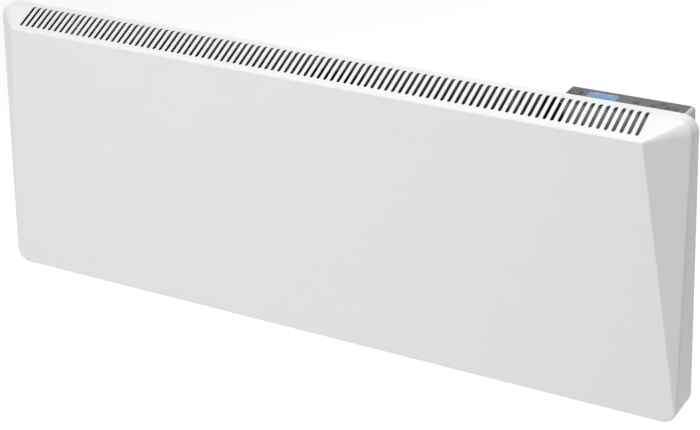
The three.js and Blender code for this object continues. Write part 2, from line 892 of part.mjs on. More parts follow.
// Where a lead goes up through the grommet: three leads share its bore.
function entryStops(share) {
  const angle = (share / 3) * 2 * Math.PI;
  const x = entryX + leadCircle * Math.cos(angle);
  const y = grommetY + leadCircle * Math.sin(angle);
  return [
    ...entryDrops.map((drop) => [x, y, entryLow - drop]),
    [x, y, entryLow + housingWall + entryRise],
  ];
}

const clipXs = [
  shieldLeft + firstClipOffset,
  ...nextClipOffsets.map((offset) => cutoutX + offset),
];

// A straight stretch through a clip.
function clipStops(x) {
  return clipStraight.map((offset) => [x + offset, runY, leadRunHeight]);
}

// From an element's cap, round the given bends.
function capStops(x, bends) {
  return [[0, 0, 0], ...bends].map(([across, back, up]) => [
    x + across,
    elementY + back,
    elementHeight + up,
  ]);
}

function rightElementLead() {
  const x = elementRight + capReach + touchGap;
  return lead([...capStops(x, rightLeadBends), ...entryStops(2)], 20);
}

function leftElementLead() {
  const x = elementLeft - capReach - touchGap;
  const bladeX = cutoutX - cutoutRadius - bladeLength - touchGap;
  return lead([
    ...capStops(x, leftLeadBends),
    [shieldLeft + leftLeadCorner[0], runY, leadRunHeight + leftLeadCorner[1]],
    ...clipStops(clipXs[0]),
    ...clipStops(clipXs[1]),
    [cutoutX + cutoutLeadIn[0], runY, cutoutHeight + cutoutLeadIn[1]],
    [bladeX - leadTail, bladeY, cutoutHeight],
    [bladeX, bladeY, cutoutHeight],
  ], 44);
}

function cutoutLead() {
  const bladeX = cutoutX + cutoutRadius + bladeLength + touchGap;
  return lead([
    [bladeX, bladeY, cutoutHeight],
    [bladeX + leadTail, bladeY, cutoutHeight],
    [cutoutX + cutoutLeadOut[0], runY, leadRunHeight + cutoutLeadOut[1]],
    ...clipStops(clipXs[2]),
    [shieldRight - cutoutLeadEnd, runY, leadRunHeight],
    [entryX + entryLeadIn[0], runY + entryLeadIn[1], leadRunHeight],
    ...entryStops(1),
  ], 32);
}

const sensorX = entryX + sensorOffset;
const sensorY = panelFront - touchGap - clipSize / 2;

function sensorLead() {
  const top = sensorHeight + sensorLength + touchGap;
  const [across, back, drop] = sensorLeadIn;
  return lead([
    [sensorX, sensorY, top],
    [sensorX, sensorY, top + sensorLeadRise],
    [sensorX - sensorLeadLean, sensorY, (top + entryLow) / 2],
    [entryX + across, sensorY + back, entryLow - drop],
    ...entryStops(0),
  ], 20);
}

// A square clip round a lead that runs along x.
function leadClip() {
  const half = clipSize / 2;
  return build(
    [block([-half, half], [-half, half], [-half, half])],
    [bar('x', [-clipSize, clipSize], leadRadius + clipBoreGap, [0, 0, 0])],
  );
}

function sensorClip() {
  const half = clipSize / 2;
  return build(
    [block([-half, half], [-half, half], [0, sensorLength / 2])],
    [bar('z', [-throughCut, sensorLength], sensorRadius + touchGap, [0, 0, 0])],
  );
}

// ---------------------------------------------------------------------------
// Control unit, drawn with x = 0 at the housing's left end, y = 0 at the cover's back edge
// and z = 0 at the fascia's top
// ---------------------------------------------------------------------------

const cavityFloor = housingLow + housingWall;
const boardTop = -boardDrop;
const boardLow = boardTop - boardThickness;
const ledgeTop = boardLow - touchGap;
const cavityX = [housingWall, fasciaLength - housingWall];
const boardX = [housingWall + runGap, fasciaLength - housingWall - runGap];
const boardY = [fasciaFront + housingWall + runGap, housingBack - housingWall - runGap];

function controlHousing() {
  const outline = new THREE.Shape();
  const endX = housingLength - housingEndRadius;
  outline.moveTo(0, housingLow);
  outline.lineTo(housingLength, housingLow);
  outline.lineTo(housingLength, -housingEndRadius);
  outline.absarc(endX, -housingEndRadius, housingEndRadius, 0, Math.PI / 2);
  outline.lineTo(fasciaLength + touchGap, 0);
  outline.lineTo(fasciaLength + touchGap, housingTop);
  outline.lineTo(0, housingTop);
  const lugs = [lugLength, housingLength - lugLength].map((x) => block(
    [x - lugLength / 2, x + lugLength / 2],
    [panelBack + touchGap, panelBack + touchGap + lugThickness],
    [housingLow - lugHeight, housingLow + overlap],
  ));
  const floorCut = [housingLow - throughCut, cavityFloor + throughCut];
  const cuts = [
    block(
      cavityX,
      [fasciaFront + housingWall, housingBack - housingWall],
      [ledgeTop, housingTop + throughCut],
    ),
    block(
      [cavityX[0] + housingLedge, cavityX[1] - housingLedge],
      [housingWall - housingFront, housingBack - housingWall - housingLedge],
      [cavityFloor, ledgeTop + overlap],
    ),
    bar('z', floorCut, glandRadius + runGap, [glandX, glandY, 0]),
    bar('z', floorCut, grommetRadius, [grommetX, grommetY, 0]),
    ...[lugLength, housingLength - lugLength].map((x) => bar(
      'y',
      [panelBack - throughCut, panelBack + touchGap + lugThickness + throughCut],
      screwRadius + runGap,
      [x, 0, housingLow - lugHeight / 2],
    )),
  ];
  return build([slab(outline, [-housingFront, housingBack]), ...lugs], cuts);
}

const navX = fasciaLength - navMargin;
const keys = [
  { name: 'key_standby', x: standbyMargin, y: keyRow, radius: standbyRadius },
  { name: 'key_menu', x: fasciaLength - menuMargin, y: keyRow, radius: smallKeyRadius },
  { name: 'key_left', x: navX - navReachX, y: keyRow, radius: smallKeyRadius },
  { name: 'key_up', x: navX, y: keyRow + navReachY, radius: smallKeyRadius },
  { name: 'key_right', x: navX + navReachX, y: keyRow, radius: smallKeyRadius },
  { name: 'key_down', x: navX, y: keyRow - navReachY, radius: smallKeyRadius },
  { name: 'key_enter', x: fasciaLength - enterMargin, y: keyRow, radius: smallKeyRadius },
];

const displayX = [displayStart, displayStart + displayLength];
const displayY = [displayFront, displayFront + displayDepth];

function controlFascia() {
  const plate = block([0, fasciaLength], [fasciaFront, housingBack], [-fasciaThickness, 0]);
  const holeZ = [-fasciaThickness - throughCut, throughCut];
  const windowHole = block(displayX, displayY, holeZ);
  const keyHoles = keys.map((key) => bar('z', holeZ, key.radius + runGap, [key.x, key.y, 0]));
  return build([plate], [windowHole, ...keyHoles]);
}

function displayLens() {
  const [x0, x1] = displayX;
  const [y0, y1] = displayY;
  const lipTop = -fasciaThickness - touchGap;
  const low = lipTop - lensThickness;
  return build([
    block([x0 + touchGap, x1 - touchGap], [y0 + touchGap, y1 - touchGap], [low, 0]),
    block([x0 - lensLip, x1 + lensLip], [y0 - lensLip, y1 + lensLip], [low, lipTop]),
  ]);
}

function displayModule() {
  const top = -fasciaThickness - lensThickness - 2 * touchGap;
  const x = [displayX[0] - moduleMargin, displayX[1] + moduleMargin];
  const y = [displayY[0] - moduleMarginY, displayY[1] + moduleMarginY];
  const footX = [x[0] + moduleFootInset, x[1] - moduleFootInset];
  const footY = [y[0] + moduleFootInset, y[1] - moduleFootInset];
  return build([
    block(x, y, [top - moduleHeight, top]),
    block(footX, footY, [boardTop + touchGap, top - moduleHeight + overlap]),
  ]);
}

// A key cap with the flange that keeps it under the fascia. z = 0 at the fascia's top.
function keyCap(radius) {
  const flangeTop = -fasciaThickness - touchGap;
  const flangeLow = flangeTop - keyFlangeThickness;
  return turned([
    [0, -keyLength],
    [radius - keyStemInset, -keyLength],
    [radius - keyStemInset, flangeLow],
    [radius + keyFlange, flangeLow],
    [radius + keyFlange, flangeTop],
    [radius, flangeTop],
    [radius, keyProud],
    [0, keyProud],
  ]);
}

function keyMat([x0, x1]) {
  const top = -keyLength - keyTravel - touchGap;
  const y = [boardY[0] + matInset, boardY[1] - matInset];
  return block([x0, x1], y, [boardTop + touchGap, top]);
}

function cableGland() {
  const head = new THREE.CylinderGeometry(glandNutRadius, glandNutRadius, glandHeadLength, 6);
  head.rotateX(Math.PI / 2).translate(0, 0, housingLow - touchGap - glandHeadLength / 2);
  const low = housingLow - glandHeadLength;
  const top = cavityFloor + glandNutLength + glandThreadEnd;
  const tube = bar('z', [low, top], glandRadius, [0, 0, 0]);
  const bore = bar('z', [low - throughCut, top + throughCut], glandBore, [0, 0, 0]);
  return build([head, tube], [bore]);
}

function glandNut() {
  const low = cavityFloor + touchGap;
  const nut = new THREE.CylinderGeometry(glandNutRadius, glandNutRadius, glandNutLength, 6);
  nut.rotateX(Math.PI / 2).translate(0, 0, low + glandNutLength / 2);
  const reach = [low - throughCut, low + glandNutLength + throughCut];
  return build([nut], [bar('z', reach, glandRadius + touchGap, [0, 0, 0])]);
}

function leadGrommet() {
  const flangeTop = housingLow - touchGap;
  const flangeLow = flangeTop - grommetFlangeThickness;
  const top = cavityFloor + grommetRise;
  const flange = bar('z', [flangeLow, flangeTop], grommetRadius + grommetFlange, [0, 0, 0]);
  const neck = bar('z', [flangeTop - overlap, top], grommetRadius - touchGap, [0, 0, 0]);
  const bore = bar('z', [flangeLow - throughCut, top + throughCut], grommetBore, [0, 0, 0]);
  return build([flange, neck], [bore]);
}

function terminalBlock() {
  const low = cavityFloor + touchGap;
  const top = low + terminalHeight;
  const x = [terminalX, terminalX + terminalLength];
  const y = [terminalY, terminalY + terminalDepth];
  const wells = [];
  for (let way = 0; way < terminalWays; way += 1) {
    const wellX = terminalX + ((way + 0.5) * terminalLength) / terminalWays;
    const centre = [wellX, terminalY + terminalDepth / 2, 0];
    wells.push(bar('z', [top - wellDepth, top + throughCut], wellRadius, centre));
  }
  return build([block(x, y, [low, top])], wells);
}

const powerY = [powerBoardY, powerBoardY + boardThickness];
const powerLow = cavityFloor + touchGap;

function boardPart([x, y, z]) {
  return block([0, x], [0, y], [0, z]);
}

// Where a part stands on the power board, measured from the board's left and lower edges.
function onBoard([x, z]) {
  return [powerBoardStart + x, powerY[1] + touchGap, powerLow + z];
}

// ---------------------------------------------------------------------------
// Screws
// ---------------------------------------------------------------------------

// A pan-head screw that points along +z, with z = 0 at the face under its head.
function panScrew(length) {
  return turned([
    [0, -screwHeadHeight],
    [screwHeadRadius * 0.7, -screwHeadHeight],
    [screwHeadRadius, -screwHeadHeight * 0.4],
    [screwHeadRadius, 0],
    [screwRadius, 0],
    [screwRadius, length],
    [0, length],
  ], 8);
}

// ---------------------------------------------------------------------------
// Assembly
// ---------------------------------------------------------------------------

const part = new THREE.Group();
const heater = new THREE.Group();
const controls = new THREE.Group();
heater.position.set(0, -wallFace, -railMiddle);
controls.position.set(housingLeft, 0, fasciaTop);
heater.add(controls);
part.add(heater);

function add(group, name, geometry, look, [x, y, z] = [0, 0, 0]) {
  const mesh = new THREE.Mesh(geometry, new THREE.MeshStandardMaterial(look));
  mesh.name = name;
  mesh.position.set(x, y, z);
  group.add(mesh);
  return mesh;
}

// Bracket and catches
add(heater, 'wall_bracket', wallBracket(), bracketSteel);
add(heater, 'catch_left', turningCatch(), blackPlastic, [legXs[0], hookPlateFront, catchHeight]);
add(heater, 'catch_right', turningCatch(), blackPlastic, [legXs[1], hookPlateFront, catchHeight]);

// Shell
add(heater, 'front_cover', frontCover(), whitePaint);
add(heater, 'inlet_grille', inletGrille(), blackPlastic);
add(heater, 'back_panel', backPanel(), zincSteel);
add(heater, 'window_plug', windowPlug(), blackPlastic);
add(heater, 'top_seal', topSeal(), foamRubber);
add(heater, 'gap_seal', gapSeal(), foamRubber);
const spacerX = halfWidth - spacerSideMargin;
const spacerY = panelBack + touchGap;
add(heater, 'wall_spacer_left', wallSpacer(), blackPlastic, [-spacerX, spacerY, spacerHeight]);
add(heater, 'wall_spacer_right', wallSpacer(), blackPlastic, [spacerX, spacerY, spacerHeight]);
coverScrewXs().forEach((x, i) => {
  add(heater, `screw_cover_${i + 1}`, panScrew(screwLength), steelScrew, [x, coverScrewY, -touchGap]);
});

// Heating parts
add(heater, 'heat_shield', heatShield(), zincSteel);
add(heater, 'heating_element', heatingElement(), elementAlloy, [elementLeft, elementY, elementHeight]);
const supportOffset = touchGap + capFlangeLength + touchGap;
const capRight = add(heater, 'element_cap_right', elementCap(), whiteCeramic);
capRight.position.set(elementRight, elementY, elementHeight);
const capLeft = add(heater, 'element_cap_left', elementCap(), whiteCeramic);
capLeft.position.set(elementLeft, elementY, elementHeight);
capLeft.rotation.z = Math.PI;
const supportRight = add(heater, 'element_support_right', elementSupport(), zincSteel);
supportRight.position.set(elementRight + supportOffset, elementY, elementHeight);
const supportLeft = add(heater, 'element_support_left', elementSupport(), zincSteel);
supportLeft.position.set(elementLeft - supportOffset - supportSheet, elementY, elementHeight);
add(heater, 'thermal_cutout', thermalCutout(), blackPlastic);

// Wiring
add(heater, 'lead_element_left', leftElementLead(), leadBlue);
add(heater, 'lead_element_right', rightElementLead(), leadRed);
add(heater, 'lead_cutout', cutoutLead(), leadBlue);
add(heater, 'lead_sensor', sensorLead(), leadGrey);
clipXs.forEach((x, i) => {
  add(heater, `lead_clip_${i + 1}`, leadClip(), blackPlastic, [x, runY, leadRunHeight]);
});
const sensor = bar('z', [0, sensorLength], sensorRadius, [0, 0, 0]);
add(heater, 'room_sensor', sensor, blackPlastic, [sensorX, sensorY, sensorHeight]);
const sensorClipZ = sensorHeight + sensorClipRise;
add(heater, 'sensor_clip', sensorClip(), blackPlastic, [sensorX, sensorY, sensorClipZ]);

// Control unit
add(controls, 'control_housing', controlHousing(), paleGreyPlastic);
add(controls, 'control_fascia', controlFascia(), midGreyPlastic);
add(controls, 'display_lens', displayLens(), clearPlastic);
add(controls, 'display_module', displayModule(), blueDisplay);
add(controls, 'display_board', block(boardX, boardY, [boardLow, boardTop]), greenBoard);
const matStart = displayX[1] + moduleMargin + matMargin;
add(controls, 'key_mat', keyMat([matStart, boardX[1] - matInset]), siliconeRubber);
const smallMatEnd = displayX[0] - moduleMargin - touchGap - matInset;
add(controls, 'standby_mat', keyMat([boardX[0] + matInset, smallMatEnd]), siliconeRubber);
keys.forEach((key) => {
  add(controls, key.name, keyCap(key.radius), keyGreyPlastic, [key.x, key.y, 0]);
});
const powerX = [powerBoardStart, fasciaLength - powerBoardMargin];
const powerBoard = block(powerX, powerY, [powerLow, powerLow + powerBoardHeight]);
add(controls, 'power_board', powerBoard, greenBoard);
add(controls, 'relay', boardPart(relaySize), blackPlastic, onBoard(relayPlace));
add(controls, 'supply_module', boardPart(supplySize), blackPlastic, onBoard(supplyPlace));
const capacitor = bar('y', [0, capacitorLength], capacitorRadius, [0, 0, 0]);
const capacitorX = powerX[1] - powerX[0] - capacitorPlace[0];
add(controls, 'capacitor', capacitor, blackPlastic, onBoard([capacitorX, capacitorPlace[1]]));
add(controls, 'terminal_block', terminalBlock(), whiteCeramic);
add(controls, 'cable_gland', cableGland(), blackPlastic, [glandX, glandY, 0]);
add(controls, 'gland_nut', glandNut(), blackPlastic, [glandX, glandY, 0]);
add(controls, 'lead_grommet', leadGrommet(), foamRubber, [grommetX, grommetY, 0]);
const sealBack = -coverSheet - touchGap;
const housingSeal = block(
  [0, fasciaLength - housingSealEnd],
  [sealBack - sealDepth, sealBack],
  [housingTop + touchGap, fasciaDrop - coverSheet - touchGap],
);
add(controls, 'housing_seal', housingSeal, foamRubber);
lugXs().forEach((x, i) => {
  const screw = add(heater, `screw_housing_${i + 1}`, panScrew(housingScrewLength), steelScrew);
  screw.position.set(x, panelBack + 2 * touchGap + lugThickness, lugMiddle);
  screw.rotation.x = Math.PI / 2;
});

export default part;
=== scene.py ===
"""Visual model of a wall panel convector heater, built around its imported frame.

The classes work in millimetres in the cover's own frame: x = 0 at the middle of the cover,
y = 0 at its back edge and z = 0 at its bottom edge. The matrix ROW turns such a point into
metres in the row frame, whose origin lies on the wall.
"""

import json
import logging
import math
from dataclasses import dataclass
from enum import Enum
from typing import Callable, Sequence

import bmesh
import bpy
from mathutils import Matrix, Vector


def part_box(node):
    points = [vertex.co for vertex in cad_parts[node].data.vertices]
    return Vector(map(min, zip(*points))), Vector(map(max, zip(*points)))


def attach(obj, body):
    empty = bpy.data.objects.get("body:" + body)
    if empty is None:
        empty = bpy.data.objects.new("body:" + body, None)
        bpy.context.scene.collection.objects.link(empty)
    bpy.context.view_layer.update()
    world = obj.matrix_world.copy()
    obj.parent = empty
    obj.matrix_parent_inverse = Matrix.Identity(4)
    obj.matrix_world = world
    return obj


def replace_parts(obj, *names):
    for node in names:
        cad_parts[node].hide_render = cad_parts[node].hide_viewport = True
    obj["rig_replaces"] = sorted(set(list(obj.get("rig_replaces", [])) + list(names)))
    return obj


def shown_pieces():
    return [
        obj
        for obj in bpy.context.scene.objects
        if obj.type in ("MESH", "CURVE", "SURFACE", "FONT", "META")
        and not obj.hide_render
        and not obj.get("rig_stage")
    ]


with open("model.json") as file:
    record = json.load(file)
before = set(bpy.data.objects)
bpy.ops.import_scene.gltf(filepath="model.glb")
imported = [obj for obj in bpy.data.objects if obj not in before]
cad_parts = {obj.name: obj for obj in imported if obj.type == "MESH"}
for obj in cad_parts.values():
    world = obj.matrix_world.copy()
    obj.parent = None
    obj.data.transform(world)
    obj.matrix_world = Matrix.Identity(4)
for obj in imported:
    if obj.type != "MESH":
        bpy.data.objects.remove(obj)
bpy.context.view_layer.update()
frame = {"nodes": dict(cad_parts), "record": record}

LOG = logging.getLogger("heater")
MM = 0.001
WALL_GAP = 36.0  # from the wall to the cover's back edge
RAIL_MIDDLE = 320.0  # the bracket rail's middle above the cover's bottom edge
ROW = Matrix.Scale(MM, 4) @ Matrix.Translation((0.0, -WALL_GAP, -RAIL_MIDDLE))
AS_IS = Matrix.Identity(4)
UNIT_LEFT = 346.0  # the control unit's left end
FASCIA_TOP = 396.0  # the fascia's upper face
CLOSE = 1e-3  # coordinates that lie this near are the same
SHARP = 30.0  # degrees from which an edge stays sharp
LENS_IOR = 1.3
HEATER = "heater"
Point = tuple[float, float, float]
Colour = tuple[float, float, float]
Pair = tuple[float, float]
Station = tuple[Vector, Vector]  # a point of the grille and the outward normal there


# Finishes


class Pattern(Enum):
    """How a finish varies over its surface."""

    SPANGLE = "spangle"
    BRUSHED = "brushed"
    GRAIN = "grain"


class NodeMaker:
    """Adds and wires nodes in one tree."""

    def __init__(self, tree: bpy.types.NodeTree) -> None:
        """Keeps the tree that the nodes go in."""
        self.tree = tree

    def add(self, kind: str, inputs: dict | None = None, **settings: object) -> bpy.types.Node:
        """Adds a node.

        Args:
            kind: The node's class name.
            inputs: Values or sockets for its inputs, by name or number.
            settings: Attributes of the node itself.

        Returns:
            The new node.
        """
        node = self.tree.nodes.new(kind)
        for name, value in settings.items():
            setattr(node, name, value)
        for key, value in (inputs or {}).items():
            if isinstance(value, bpy.types.NodeSocket):
                self.tree.links.new(value, node.inputs[key])
            else:
                node.inputs[key].default_value = value
        return node

    def math(self, operation: str, *values: object) -> bpy.types.NodeSocket:
        """Adds a Math node and returns its output."""
        node = self.add("ShaderNodeMath", dict(enumerate(values)), operation=operation)
        return node.outputs[0]

    def noise(self, place: object, scale: object, detail: float) -> bpy.types.NodeSocket:
        """Adds a noise texture and returns its value."""
        inputs = {"Vector": place, "Scale": scale, "Detail": detail}
        return self.add("ShaderNodeTexNoise", inputs).outputs[0]

    def seen(self) -> bpy.types.NodeSocket:
        """Whether a ray shows a thing directly, in a mirror or through glass."""
        rays = self.add("ShaderNodeLightPath").outputs
        plain = self.math("MAXIMUM", rays["Is Camera Ray"], rays["Is Glossy Ray"])
        return self.math("MAXIMUM", plain, rays["Is Transmission Ray"])


def fresh_nodes(owner: bpy.types.Material | bpy.types.World) -> NodeMaker:
    """Empties a material's or a world's nodes.

    Args:
        owner: The material or the world.

    Returns:
        What adds its new nodes.
    """
    owner.use_nodes = True
    owner.node_tree.nodes.clear()
    return NodeMaker(owner.node_tree)


def new_group(
    name: str, kind: str, inputs: dict[str, str], outputs: dict[str, str]
) -> bpy.types.NodeTree:
    """Makes a node group with named sockets.

    Args:
        name: The group's name.
        kind: The tree's class name.
        inputs: The kind of each input, such as Float, by name.
        outputs: The kind of each output, by name.

    Returns:
        The group, without nodes.
    """
    tree = bpy.data.node_groups.new(name, kind)
    for way, sockets in (("INPUT", inputs), ("OUTPUT", outputs)):
        for label, value in sockets.items():
            tree.interface.new_socket(name=label, in_out=way, socket_type=f"NodeSocket{value}")
    return tree


@dataclass(frozen=True)
class SurfaceGroup:
    """A shared shader group: how a pattern varies colour, roughness and height."""

    pattern: Pattern

    def build(self) -> bpy.types.NodeTree:
        """Builds the group once.

        Returns:
            The shader node group, with colour, roughness and height as outputs.
        """
        name = f"surface {self.pattern.value}"
        if name in bpy.data.node_groups:
            return bpy.data.node_groups[name]
        inputs = {
            "Place": "Vector", "Light": "Color", "Dark": "Color",
            "Roughness": "Float", "Spread": "Float", "Scale": "Float",
        }
        outputs = {"Colour": "Color", "Roughness": "Float", "Height": "Float"}
        tree = new_group(name, "ShaderNodeTree", inputs, outputs)
        make = NodeMaker(tree)
        given = make.add("NodeGroupInput").outputs
        tone, height = self.masks(make, given["Place"], given["Scale"])
        colour = make.add(
            "ShaderNodeMix",
            {"Factor": tone, "A": given["Light"], "B": given["Dark"]},
            data_type="RGBA",
        )
        swing = make.math("SUBTRACT", tone, 0.5)
        rough = make.math("MULTIPLY_ADD", swing, given["Spread"], given["Roughness"])
        result = {"Colour": colour.outputs["Result"], "Roughness": rough, "Height": height}
        make.add("NodeGroupOutput", result)
        return tree

    def masks(
        self, make: NodeMaker, place: bpy.types.NodeSocket, scale: bpy.types.NodeSocket
    ) -> tuple[bpy.types.NodeSocket, bpy.types.NodeSocket]:
        """The pattern's tone and height.

        Args:
            make: Adds nodes to the group.
            place: The point on the surface.
            scale: How fine the pattern is, in features a metre.

        Returns:
            A tone from 0 to 1 and a height from 0 to 1.
        """
        if self.pattern is Pattern.BRUSHED:
            drawn = make.add("ShaderNodeMapping", {"Vector": place, "Scale": (0.02, 1.0, 1.0)})
            lines = make.noise(drawn.outputs[0], scale, 4.0)
            return lines, lines
        fine = make.noise(place, scale, 2.0)
        if self.pattern is Pattern.GRAIN:
            return make.noise(place, 9.0, 3.0), fine
        cells = make.add("ShaderNodeTexVoronoi", {"Vector": place, "Scale": scale})
        shade = make.add("ShaderNodeSeparateColor", {"Color": cells.outputs["Color"]})
        half = make.math("MULTIPLY", make.noise(place, 7.0, 4.0), 0.5)
        return make.math("MULTIPLY_ADD", shade.outputs[0], 0.5, half), fine


@dataclass(frozen=True)
class Finish:
    """A procedural finish and the record's slot that it belongs to."""

    slot: str
    light: Colour
    dark: Colour
    roughness: float
    variant: str = ""
    pattern: Pattern = Pattern.GRAIN
    scale: float = 900.0
    spread: float = 0.06
    depth: float = 0.00004
    metallic: float = 0.0
    glow: float = 0.0
    clear: float = 0.0

    def material(self) -> bpy.types.Material:
        """Builds the material once.

        Returns:
            The material.
        """
        name = f"look_{self.slot}{self.variant}"
        found = bpy.data.materials.get(name)
        if found:
            return found
        material = bpy.data.materials.new(name)
        make = fresh_nodes(material)
        surface = make.add(
            "ShaderNodeGroup",
            {
                "Place": make.add("ShaderNodeTexCoord").outputs["Object"],
                "Light": (*self.light, 1.0),
                "Dark": (*self.dark, 1.0),
                "Roughness": self.roughness,
                "Spread": self.spread,
                "Scale": self.scale,
            },
            node_tree=SurfaceGroup(self.pattern).build(),
        ).outputs
        relief = {"Height": surface["Height"], "Distance": self.depth, "Strength": 1.0}
        inputs = {
            "Base Color": surface["Colour"],
            "Roughness": surface["Roughness"],
            "Metallic": self.metallic,
            "Normal": make.add("ShaderNodeBump", relief).outputs[0],
        }
        if self.glow:
            inputs |= {"Emission Color": surface["Colour"], "Emission Strength": self.glow}
        if self.clear:
            inputs |= {"Transmission Weight": self.clear, "IOR": LENS_IOR}
        shader = make.add("ShaderNodeBsdfPrincipled", inputs)
        make.add("ShaderNodeOutputMaterial", {"Surface": shader.outputs[0]})
        return material


WHITE_ENAMEL = Finish(
    "white_enamel", (0.86, 0.86, 0.855), (0.845, 0.846, 0.842), 0.36,
    scale=700.0, spread=0.03, depth=0.00002,
)
ZINC_SHEET = Finish(
    "zinc_steel", (0.42, 0.43, 0.44), (0.27, 0.28, 0.29), 0.38, pattern=Pattern.SPANGLE,
    scale=230.0, spread=0.12, metallic=0.9,
)
BRACKET_STEEL = Finish(
    "bracket_steel", (0.64, 0.65, 0.66), (0.50, 0.51, 0.52), 0.36, pattern=Pattern.SPANGLE,
    scale=360.0, spread=0.12, metallic=0.6,
)
# Black foam seals, partly real and partly painted shade: their near-black colour stands in for the
# shade seen at the upper ends of the slots.
FOAM_AND_PAINTED_SHADE = Finish("foam_rubber", (0.014, 0.014, 0.014), (0.006, 0.006, 0.006), 0.95, depth=0.0003)
ELEMENT_ALLOY = Finish(
    "element_alloy", (0.62, 0.62, 0.63), (0.50, 0.50, 0.51), 0.36, pattern=Pattern.BRUSHED,
    spread=0.15, metallic=1.0,
)
CERAMIC = Finish("ceramic", (0.80, 0.77, 0.70), (0.72, 0.69, 0.61), 0.55)
BLACK_PLASTIC = Finish("black_plastic", (0.020, 0.021, 0.022), (0.012, 0.012, 0.013), 0.45)
HOUSING_PLASTIC = Finish("housing_plastic", (0.60, 0.61, 0.62), (0.55, 0.56, 0.57), 0.42)
FASCIA_PLASTIC = Finish("fascia_plastic", (0.102, 0.103, 0.105), (0.086, 0.087, 0.089), 0.50)
FASCIA_INK = Finish(
    "fascia_plastic", (0.012, 0.012, 0.013), (0.008, 0.008, 0.009), 0.55, "_ink",
)
KEY_PLASTIC = Finish("key_plastic", (0.135, 0.136, 0.139), (0.115, 0.116, 0.119), 0.50)
KEY_INK = Finish("key_plastic", (0.010, 0.010, 0.011), (0.006, 0.006, 0.007), 0.55, "_ink")
DISPLAY_LENS = Finish(
    "display_lens", (0.80, 0.88, 0.98), (0.78, 0.86, 0.97), 0.06, spread=0.01,
    depth=0.000002, clear=1.0,
)
DISPLAY_PANEL = Finish(
    "display_panel", (0.030, 0.165, 0.345), (0.026, 0.147, 0.32), 0.35, glow=0.39,
)
CIRCUIT_BOARD = Finish("circuit_board", (0.030, 0.110, 0.055), (0.018, 0.080, 0.038), 0.45)
SILICONE = Finish("silicone", (0.060, 0.062, 0.065), (0.048, 0.050, 0.052), 0.75)
LEAD_RED = Finish("lead_red", (0.32, 0.040, 0.030), (0.26, 0.030, 0.024), 0.55)
LEAD_BLUE = Finish("lead_blue", (0.040, 0.090, 0.28), (0.030, 0.070, 0.23), 0.55)
LEAD_GREY = Finish("lead_grey", (0.30, 0.31, 0.32), (0.25, 0.26, 0.27), 0.55)
SCREW_STEEL = Finish(
    "screw_steel", (0.60, 0.61, 0.62), (0.50, 0.51, 0.52), 0.32, pattern=Pattern.BRUSHED,
    scale=1500.0, metallic=1.0,
)
FINISHES = {
    look.slot: look
    for look in (
        WHITE_ENAMEL, ZINC_SHEET, BRACKET_STEEL, FOAM_AND_PAINTED_SHADE, ELEMENT_ALLOY, CERAMIC, BLACK_PLASTIC,
        HOUSING_PLASTIC, FASCIA_PLASTIC, KEY_PLASTIC, DISPLAY_LENS, DISPLAY_PANEL,
        CIRCUIT_BOARD, SILICONE, LEAD_RED, LEAD_BLUE, LEAD_GREY, SCREW_STEEL,
    )
}


# Mesh tools


def add_object(name: str, data: bpy.types.ID) -> bpy.types.Object:
    """Puts a mesh, a curve, a lamp or a camera in the scene, at the origin.

    Args:
        name: The object's name.
        data: What it shows, in metres in the row frame.

    Returns:
        The new object.
    """
    obj = bpy.data.objects.new(name, data)
    bpy.context.scene.collection.objects.link(obj)
    return obj


def to_mesh(name: str, bm: bmesh.types.BMesh, place: Matrix = ROW) -> bpy.types.Mesh:
    """Turns a working mesh into a mesh in metres, and frees it.

    Args:
        name: The mesh's name.
        bm: The working mesh.
        place: From the working mesh's frame to the row frame.

    Returns:
        The mesh.
    """
    mesh = bpy.data.meshes.new(name)
    bm.to_mesh(mesh)
    bm.free()
    mesh.transform(place)
    return mesh


def evaluated_mesh(obj: bpy.types.Object) -> bpy.types.Mesh:
    """An object's shape after its modifiers, as a mesh of its own."""
    depsgraph = bpy.context.evaluated_depsgraph_get()
    return bpy.data.meshes.new_from_object(obj.evaluated_get(depsgraph))


def bake(obj: bpy.types.Object) -> bpy.types.Object:
    """Applies an object's modifiers.

    Args:
        obj: The object, which keeps its name.

    Returns:
        The same object with a plain mesh and no modifiers.
    """
    plain = evaluated_mesh(obj)
    old = obj.data
    obj.modifiers.clear()
    obj.data = plain
    if old.users == 0:
        bpy.data.meshes.remove(old)
    return obj


def even_shading(obj: bpy.types.Object, sharp: float = SHARP) -> None:
    """Shades an object smoothly and keeps its flat faces flat.

    Args:
        obj: The object.
        sharp: Edges that bend by more than this many degrees stay sharp.
    """
    obj.data.shade_smooth()
    obj.data.set_sharp_from_angle(angle=math.radians(sharp))
    weighted = obj.modifiers.new("even", "WEIGHTED_NORMAL")
    weighted.keep_sharp = True
    weighted.weight = 80
    bake(obj)


def soften(obj: bpy.types.Object, width: float) -> None:
    """Rounds an object's edges.

    Args:
        obj: The object.
        width: The rounding in millimetres.
    """
    bevel = obj.modifiers.new("soft edges", "BEVEL")
    bevel.width = width * MM
    bevel.segments = 2
    bevel.limit_method = "ANGLE"
    bevel.angle_limit = math.radians(35)
    bevel.use_clamp_overlap = True
    bake(obj)


def settle(
    obj: bpy.types.Object, body: str, look: Finish, nodes: Sequence[str]
) -> bpy.types.Object:
    """Dresses a finished piece and ties it to the frame.

    Args:
        obj: The piece, at the origin.
        body: The body that it rides on.
        look: Its finish.
        nodes: The frame's nodes that it stands for.

    Returns:
        The piece.
    """
    if not obj.data.materials:
        obj.data.materials.append(look.material())
    elif obj.data.materials[0] is None:
        obj.data.materials[0] = look.material()
    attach(obj, body)
    if nodes:
        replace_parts(obj, *nodes)
    LOG.info("piece %s: body %s, %d faces", obj.name, body, len(obj.data.polygons))
    return obj


